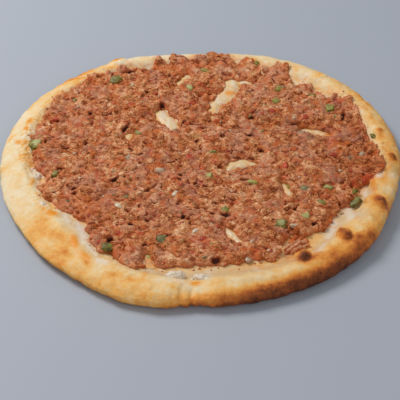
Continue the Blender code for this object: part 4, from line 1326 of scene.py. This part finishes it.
# %% Bubbles of dough
BUBBLE_HEIGHT, BUBBLE_SLOPE = 1.1, 4  # how high the dough rises, and how far from the gap's edge
BUBBLE_BORDER, BUBBLE_DIVE = 2.0, 1.6  # how far its skin goes on under the crumbs, and how deep
# Gaps that are tanner or paler than the others, as toast is added; the notch near the front is partly
# painted shade from the meat on both sides: x, y, length, width, bearing, amount.
TANNED_AND_SHADED_GAPS = ((-16, 103, 14, 8, 0, 0.14), (57, -25, 14, 8, 0, 0.12), (21, -76, 16, 10, 0, -0.06),
               (-55, 30, 10, 8, 0, 0.14), (-34, -101, 26, 14, 90, 0.40), (8, 66, 14, 10, 0, 0.06),
               (-27, 50, 22, 10, -60, -0.12))


def make_gap_dough():
    """The skin of the bubbles, and a border of it that dives under the crumbs."""
    gap = gap_reach(table_x, table_y)
    outer = meat_reach(table_x, table_y)
    risen = BUBBLE_HEIGHT * ease(-gap / BUBBLE_SLOPE) * ease((outer - 8) / 10)
    uneven = 0.5 * waves(table_x, table_y, 6.0, 30.0) + 0.3 * waves(table_x, table_y, 2.2, 31.0)
    dive = BUBBLE_DIVE * ease((gap + 0.2) / 2.2)
    height = dough_top(table_x, table_y) + risen + uneven + 0.5 - dive
    # Darker towards the gap's edge: partly tan dough, partly painted shade from the meat beside it.
    brown = 0.17 + 0.30 * ease((gap + 1.8) / 2.4) + 0.30 * waves(table_x, table_y, 4.0, 32.0)
    brown += spots(table_x, table_y, TANNED_AND_SHADED_GAPS)
    oil = spots(table_x, table_y, OIL_SPOTS) + 0.45 * ease((gap + 1.6) / 2.0)
    used, faces = kept_only(((gap < BUBBLE_BORDER) & (outer > -1)).ravel(), table_faces)
    x, y, z, toast, oil = (table.ravel()[used] for table in (table_x, table_y, height, brown, oil))
    return new_piece("gap_dough", np.stack([x, y, z], -1), faces, CRUST,
                     {"toast": toast, "moist": np.full(len(x), 0.5), "oil": np.clip(oil, 0, 1),
                      "milk": np.zeros(len(x))}, ["bread"])


make_gap_dough()

# %% [markdown]
# ## Loose crumbs on the meat
# A surface that is only sampled from above has no overhangs, and real crumbs have many. So
# crumbs and finer grains lie on it as meshes of their own: rough blobs, longer than they are
# thick, half sunk. Others have fallen on the bare dough beside the meat, and a few larger ones
# lie next to the fallen lump. One blob is a small ico sphere whose radius is bent by a few
# random waves. NumPy makes thousands of them at once and joins them into one mesh for each
# kind. No crumb may hide a bit of pepper or onion, so those get their places first.

# %% Where the bits of pepper, onion and red pepper lie
# x, y, size in mm, then tint and pale top and side, which is partly cut side and partly painted
# highlight.
GREEN_BITS = (
    (-121, 10, 6, 0.2, 0), (-96, 70, 6, 0.5, 0.3), (-11, 88, 7, 0.7, 0.9), (-47, 31, 6, 0.5, 0.4),
    (0, 110, 6, 0.5, 0.2), (56, 89, 7, 0.6, 0.2), (80, 81, 7, 0.5, 0.1), (53, 72, 6, 0.6, 0.3),
    (40, 121, 7, 0.5, 0.1), (122.5, 29, 6, 0.35, 0), (6, 10, 6, 0.5, 0.3), (34, -24, 7, 0.9, 0.4),
    (59, -22, 6, 0.6, 0.1), (70, -30, 7, 0.1, 0.4), (15, -53, 6, 0.5, 0.1), (69, -58, 6, 0.8, 0.6),
    (104, -30, 6, 0.3, 0), (86, -29, 6, 0.7, 0.6), (81, -43, 6, 0.4, 0.2), (4, -17, 6, 0.7, 0.5),
    (-27, -85, 7, 0.1, 0.3), (-52, -41, 7, 0.1, 0.3), (-35, -97, 5, 0.8, 0.6),
    (-103, -17, 6, 0.4, 0.3))
WHITE_BITS = (
    (-57, -52, 6, 0.8, 0.5), (-19, -37, 6, 0.6, 0.4), (-5, -75, 6, 0.7, 0.6),
    (61, -69, 6, 0.5, 0.3), (30, -100, 5, 0.1, 0.1), (70, 34, 7, 0.1, 0.1), (112, 9, 5, 0.2, 0.1),
    (-53, 2, 5, 0.3, 0.2), (-30, -12, 7, 0.3, 0.3), (-108.5, -50, 5, 0.9, 0.9),
    (4, -121, 4, 0.9, 0.9), (9, -119, 3, 0.9, 0.9), (-6, -119, 3, 0.9, 0.9))
RED_BITS = ((-9, 70, 6, 0.3, 0), (-10, 3.5, 7, 0.5, 0), (-108, 44, 5, 0.6, 0), (98, 74, 5, 0.1, 0),
            (50, 61, 6, 0.4, 0), (92, 9, 5, 0.3, 0), (74, 53, 5, 0.4, 0), (-55, -79, 5, 0.5, 0),
            (1, -83, 5, 0.4, 0), (57, -4, 6, 0.8, 0), (112, -18, 5, 0.4, 0), (-54, 64, 6, 0.7, 0))


# %% Many rough blobs as one mesh
def as_arrays(work):
    """Points and triangles of a bmesh, which isn't needed any more."""
    bmesh.ops.triangulate(work, faces=work.faces)
    points = np.array([vert.co[:] for vert in work.verts])
    faces = np.array([[vert.index for vert in face.verts] for face in work.faces])
    work.free()
    return points, faces


def ball(subdivisions):
    """Points and faces of an ico sphere of radius 1."""
    work = bmesh.new()
    bmesh.ops.create_icosphere(work, subdivisions=subdivisions, radius=1.0)
    return as_arrays(work)


def blobs(draw, places, sizes, form, roughness, tilt):
    """places (n, 3); sizes (n, 3) are half axes; each blob gets its own turn, tilt and form."""
    points, faces = form
    count = len(places)
    bend = np.ones((count, len(points)))
    for strength in (roughness, roughness * 0.7):
        direction = draw.normal(0, 2.6, (count, 3))
        bend += strength * np.sin(direction @ points.T + draw.uniform(0, 6.3, (count, 1)))
    shaped = points[None] * bend[..., None] * sizes[:, None]
    lean, turn = draw.normal(0, tilt, (count, 1)), draw.uniform(0, 2 * np.pi, (count, 1))
    x, y, z = (shaped[..., axis] for axis in range(3))
    x, z = turned(x, z, -lean)
    x, y = turned(x, y, -turn)
    moved = np.stack([x, y, z], -1) + places[:, None]
    joined = faces[None] + (np.arange(count) * len(points))[:, None, None]
    return moved.reshape(-1, 3), joined.reshape(-1, 3)


# %% Places on the meat
def on_bits(x, y):
    """Where a named bit of pepper or onion shows, so that no crumb hides it."""
    covered = np.zeros_like(x, dtype=bool)
    for where_x, where_y, size, *_ in (*GREEN_BITS, *WHITE_BITS):
        covered |= np.hypot(x - where_x, y - where_y) < 0.4 * size
    return covered


def meat_places(draw, count, margin):
    """Random places on the meat: inside its edge, out of the crevices and more in some parts."""
    x, y = draw.uniform(-128, 130, count * 6), draw.uniform(-112, 136, count * 6)
    z, reach, depth = look_up(x, y, table_z, table_reach, table_depth)
    crowded = waves(x, y, 12.0, 33.0) > draw.uniform(-0.6, 0.35, len(x))
    fits = (reach > margin) & (depth < 0.4) & crowded & ~on_bits(x, y)
    return np.stack([x, y, z], -1)[fits][:count]


# %% Where crumbs fell on the bare dough
STRAY_REACH = 4.5  # how far from the meat the small ones got, in mm
CRUMB_LIFT = 0.3
# Larger crumbs that fell next to the lump of meat: x and y.
BESIDE_LUMP = ((60, -77), (62.5, -75.5), (66, -76), (68, -79), (64, -79), (59.5, -80.5), (62, -82),
               (66, -82.5), (69, -83))


def stray_places(draw, count, _margin):
    """Random places on the bare dough, within a few mm of the meat's edge."""
    x, y = draw.uniform(-130, 133, count * 40), draw.uniform(-118, 136, count * 40)
    reach, = look_up(x, y, table_reach)
    fits = (reach < -0.3) & (reach > -0.3 - STRAY_REACH * draw.uniform(0, 1, len(x)) ** 2)
    fits &= gap_reach(x, y) > 0
    return on_dough(x[fits][:count], y[fits][:count])


def lump_places(_draw, _count, _margin):
    """The named places beside the lump, in the form that the random ones have."""
    return on_dough(*np.array(BESIDE_LUMP).T)


def on_dough(x, y):
    return np.stack([x, y, dough_top(x, y) + CRUMB_LIFT], -1)


# %% Strew the crumbs
def make_loose_crumbs(name, seed, count, long_half, form, sink, roughness, places_of=meat_places):
    """Crumbs of one kind as one mesh. long_half is the range of half lengths in mm, and sink
    how deep they sit. Near the meat's edge they are smaller. Each is painted as the meat is
    below it, with painted shade on its underside."""
    draw = np.random.default_rng(seed)
    places = places_of(draw, count, long_half[0])
    each = len(form[0])
    share = draw.uniform(0, 1, len(places)) ** 2
    long = long_half[0] + (long_half[1] - long_half[0]) * share
    reach, = look_up(places[:, 0], places[:, 1], table_reach)
    long *= 0.6 + 0.4 * ease(reach / 5)
    sizes = np.stack([long, long * draw.uniform(0.55, 0.9, len(places)),
                      long * draw.uniform(0.4, 0.6, len(places))], -1)
    places[:, 2] += sizes[:, 2] * sink
    points, faces = blobs(draw, places, sizes, form, roughness, 0.3)
    points[:, 2] = np.minimum(points[:, 2], box_high[2] - 0.1)
    found = look_up(places[:, 0], places[:, 1], *MEAT_PAINT.values())
    paint = dict(zip(MEAT_PAINT, (values.repeat(each) for values in found)))
    paint["tint"] = paint["tint"] + draw.uniform(-0.12, 0.10, len(places)).repeat(each)
    # Painted shade on the underside of each crumb.
    low = (places[:, 2].repeat(each) - points[:, 2]) / sizes[:, 2].repeat(each)
    paint["depth"] = np.clip(low * 0.5 - 0.1, 0, 0.4)
    return new_piece(name, points, faces, MEAT, paint, ["minced_meat"])


make_loose_crumbs("meat_crumbs", 21, 1400, (1.1, 2.7), ball(2), -0.35, 0.24)
make_loose_crumbs("meat_grains", 22, 5000, (0.45, 1.0), ball(1), -0.1, 0.25)
make_loose_crumbs("stray_crumbs", 23, 220, (0.6, 1.8), ball(2), 0.0, 0.25, stray_places)
make_loose_crumbs("lump_crumbs", 24, len(BESIDE_LUMP), (3.2, 5.2), ball(3), 0.1, 0.24, lump_places)


# %% [markdown]
# ## Chopped pepper and onion
# Vegetables are diced, so a piece starts as a cube. It is rounded by pushing its points
# towards a superellipsoid, sags a little at its ends, and gets a few soft dents. The larger
# pieces take the place of their own solids, and the small ones are baked into the meat.

# %% One diced piece
def dice(cuts):
    """Points and faces of a cube that reaches from -1 to 1."""
    work = bmesh.new()
    bmesh.ops.create_cube(work, size=2.0)
    bmesh.ops.subdivide_edges(work, edges=work.edges, cuts=cuts, use_grid_fill=True)
    return as_arrays(work)


def rounded(points, power):
    """Pushes the points of a cube onto a superellipsoid. A high power keeps it boxy."""
    return points / (np.abs(points) ** power).sum(axis=1, keepdims=True) ** (1 / power)


BOXINESS, DENTS = 3.4, 0.45


def diced_piece(form, place, size, bearing, sag, seed, tilt=0.0):
    """Points of one piece: size is its whole length, width and thickness."""
    points = rounded(form[0], BOXINESS)
    dents = np.array([noise.noise(Vector(point) * 1.4 + Vector((seed * 7.1, 0, 0))) for point in points])
    points = points * (1 + DENTS * dents)[:, None]
    points[:, 2] -= sag * 2 * points[:, 0] ** 2
    points = points * np.array(size) / 2
    turn = Matrix.Rotation(math.radians(bearing), 3, "Z") @ Matrix.Rotation(tilt, 3, "X")
    return points @ np.array(turn).T + place


# %% [markdown]
# ## Vegetable materials
# Baked green pepper is olive at its skin and paler at its cut side, and onion turns glassy.
# The pieces carry one value, pale, and a tint from piece to piece. On diced pieces pale lies on
# the top, where it is partly the paler cut side and partly a painted highlight.

# %% Pepper, onion and red pepper
def two_tone(dark, light, spread, hue=None):
    """A colour function: from dark to light by the tint, and paler where pale is painted: partly the cut
    side, partly a painted highlight.
    """
    def colour(tree):
        uneven = use(tree, UNEVEN, Size=2.2, Spread=spread)["Value"]
        tone = calc(tree, "ADD", painted(tree, "tint"), uneven)
        body = ramp(tree, tone, ((0.0, dark), (1.0, light)))
        return stained(tree, body, "pale", 0.6, hue) if hue else body
    return colour


PEPPER = finish_material(
    "green_pepper", two_tone(srgb(76, 65, 6), srgb(166, 152, 48), 1.1, srgb(200, 200, 146)),
    lambda tree: 0.3, dry=0.65, wet=0.4, shine=0.2, grain=1.4, pits=0.4, relief=0.2, through=0.1,
    soft=(1.6, 1.6, 0.6))
ONION = finish_material(
    "onion", two_tone(srgb(156, 118, 84), srgb(220, 196, 160), 0.9, srgb(244, 232, 216)),
    lambda tree: 0.6, dry=0.5, wet=0.25, shine=0.4, grain=1.6, pits=0.2, relief=0.08, through=0.3,
    soft=(2.4, 1.8, 1.2))
RED = finish_material(
    "red_pepper", two_tone(srgb(146, 34, 12), srgb(206, 78, 32), 0.4),
    lambda tree: 0.3, dry=0.6, wet=0.35, shine=0.3, grain=1.2, pits=0.2, relief=0.08, through=0.1,
    soft=(2.0, 0.8, 0.5))

# %% The larger pieces, each in the place of its solid
# Name, x, y, length, width, thickness in mm, the bearing of the length, tint and pale top, which is
# partly cut side and partly painted highlight.
PEPPER_PIECES = (("pepper_left", -119.5, 16.5, 9, 8, 3.6, 80, 0.5, 0.9),
                 ("pepper_back", -67, 96, 10, 7, 3.8, 55, 0.35, 0.1),
                 ("pepper_front", -62.5, -95, 9, 6.5, 3.4, 10, 0.3, 0.0),
                 ("pepper_right", 104.5, -40.5, 10, 5, 3.4, 62, 0.3, 0.3),
                 ("pepper_near", 52.5, -67.5, 7.5, 6.5, 3.6, 75, 0.35, 0.6),
                 ("pepper_far", 92.5, 64.5, 9, 6, 3.6, 80, 0.5, 0.3))
PEPPER_SAG = 0.22

for seed, (name, x, y, *size, bearing, tint, pale) in enumerate(PEPPER_PIECES):
    form = cube_points, cube_faces = dice(7)
    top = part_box(name)[1].z / MM
    points = diced_piece(form, (x, y, top - size[2] / 2), size, bearing, PEPPER_SAG, seed)
    # Pale on the top face: partly the cut side, partly a painted highlight.
    on_top = np.clip(cube_points[:, 2], 0, 1) * (np.hypot(cube_points[:, 0], cube_points[:, 1]) < 0.8)
    paint = {"tint": np.full(len(points), tint), "pale": pale * on_top}
    new_piece(name + "_dice", points, cube_faces, PEPPER, paint, [name])

# %% [markdown]
# Onion on the bare dough has gone soft, and so has the lump of meat that fell there. Both are
# uneven rounds that lie on the dough, so they start from a fine ico sphere and take the same
# uneven form as their solids. The meat gets crumbs as a second, finer unevenness, and it is a
# bundle of strands, red between them, with lighter painted tops and painted shade in the grooves.

# %% Onion pieces
# Name, x, y, length, width, height in mm and the bearing of the length.
ONION_PIECES = (("onion_front", -17, -118, 13, 7.5, 3.6, 5),
                ("onion_valley", 0, -119, 11, 6, 2.8, -15),
                ("onion_left", -116, -17.5, 9, 5.5, 2.8, 70))
LUMP_UNEVENNESS = 0.28


def soft_lump(seed, x, y, length, width, height, bearing, crumbs):
    """Points and faces of an uneven lump on the dough."""
    points, faces = ball(5 if crumbs else 4)
    bend = [1 + LUMP_UNEVENNESS * noise.noise(Vector(point) * 2 + Vector((seed, 0, 0)))
            + crumbs * (0.5 - noise.voronoi(Vector(point) * 4.0)[0][0]) for point in points]
    points = points * np.array(bend)[:, None] * (length / 2, width / 2, height)
    turn = np.array(Matrix.Rotation(math.radians(bearing), 3, "Z"))
    base = float(dough_top(np.array(float(x)), np.array(float(y))))
    return points @ turn.T + (x, y, base), faces


for seed, (name, *place) in enumerate(ONION_PIECES):
    points, faces = soft_lump(seed, *place, 0.0)
    x, y, _ = points.T
    paint = {"tint": 0.7 + 0.5 * waves(x, y, 3.0), "pale": np.full(len(points), 0.9)}
    new_piece(name + "_soft", points, faces, ONION, paint, [name])

# %% The fallen lump of meat
MEAT_LUMP = (61.5, -87, 19, 8, 4.6, 36)
LUMP_CRUMBS = 0.22
STRAND_WIDTH, STRAND_HEIGHT = 2.9, 0.5

points, faces = soft_lump(3, *MEAT_LUMP, LUMP_CRUMBS)
x, y, z = points.T
_, across = turned(x - MEAT_LUMP[0], y - MEAT_LUMP[1], math.radians(MEAT_LUMP[-1]))
across += 0.5 * waves(x, y, 3.0, 7.0)
strand = 0.5 + 0.5 * np.cos(across * 2 * np.pi / STRAND_WIDTH)
points[:, 2] += STRAND_HEIGHT * (strand - 0.5)
# Painted light and shade: strand tops get a lighter tint and the grooves between them depth paint; red,
# grey and oil are the meat's own colours.
new_piece("meat_lump_crumbs", points, faces, MEAT,
          {"tint": 0.15 + strand + 0.4 * waves(x, y, 2.2, z), "depth": 0.3 * (1 - strand),
           "grey": 0.8 * strand, "oil": 0.6 * (1 - strand), "red": 0.8 * (1 - strand),
           "olive": np.zeros(len(points))}, ["meat_lump"])

# %% [markdown]
# ## Bits baked into the meat
# The small bits stand where the photograph shows them, at the places that the loose crumbs
# kept free. Many finer flecks are strewn over the rest by a seeded draw, since minced meat for
# this bread is mixed with all three.

# %% Strew the bits
def strew(draw, count, size):
    """Random flecks: x, y, size, tint and pale top and side, partly cut side and partly painted
    highlight.
    """
    return [(x, y, draw.uniform(*size), draw.uniform(0, 0.7), draw.uniform(0, 0.5))
            for x, y, _ in meat_places(draw, count, 2.0)]


def make_bits(name, seed, bits, flecks, fleck_size, material, cuts):
    """All bits of one kind as one mesh."""
    draw = np.random.default_rng(seed)
    form = cube_points, cube_faces = dice(cuts)
    points, faces, tints, pales = [], [], [], []
    for number, (x, y, size, tint, pale) in enumerate((*bits, *strew(draw, flecks, fleck_size))):
        where = np.array([float(x)]), np.array([float(y)])
        high = max(look_up(*where, table_z)[0][0], dough_top(*where)[0])
        whole = (size, size * draw.uniform(0.55, 0.85), size * 0.45)
        place = (x, y, min(high - whole[2] * 0.15, box_high[2] - whole[2] * 0.75))
        piece = diced_piece(form, place, whole, draw.uniform(0, 180), 0.1, number, draw.normal(0, 0.35))
        piece[:, 2] = np.minimum(piece[:, 2], box_high[2] - 0.05)
        points.append(piece)
        faces.append(cube_faces + number * len(cube_points))
        tints.append(np.full(len(cube_points), tint))
        # Paler on the top and one side: partly the cut side, partly a painted highlight.
        pales.append(pale * np.clip(0.4 + cube_points[:, 2] + cube_points[:, 0], 0, 1))
    new_piece(name, np.concatenate(points), np.concatenate(faces), material,
              {"tint": np.concatenate(tints), "pale": np.concatenate(pales)}, ["minced_meat"])


make_bits("green_bits", 31, GREEN_BITS, 36, (1.4, 2.8), PEPPER, 3)
make_bits("white_bits", 32, WHITE_BITS, 40, (1.4, 2.8), ONION, 3)
make_bits("red_bits", 33, RED_BITS, 110, (1.2, 3.0), RED, 2)
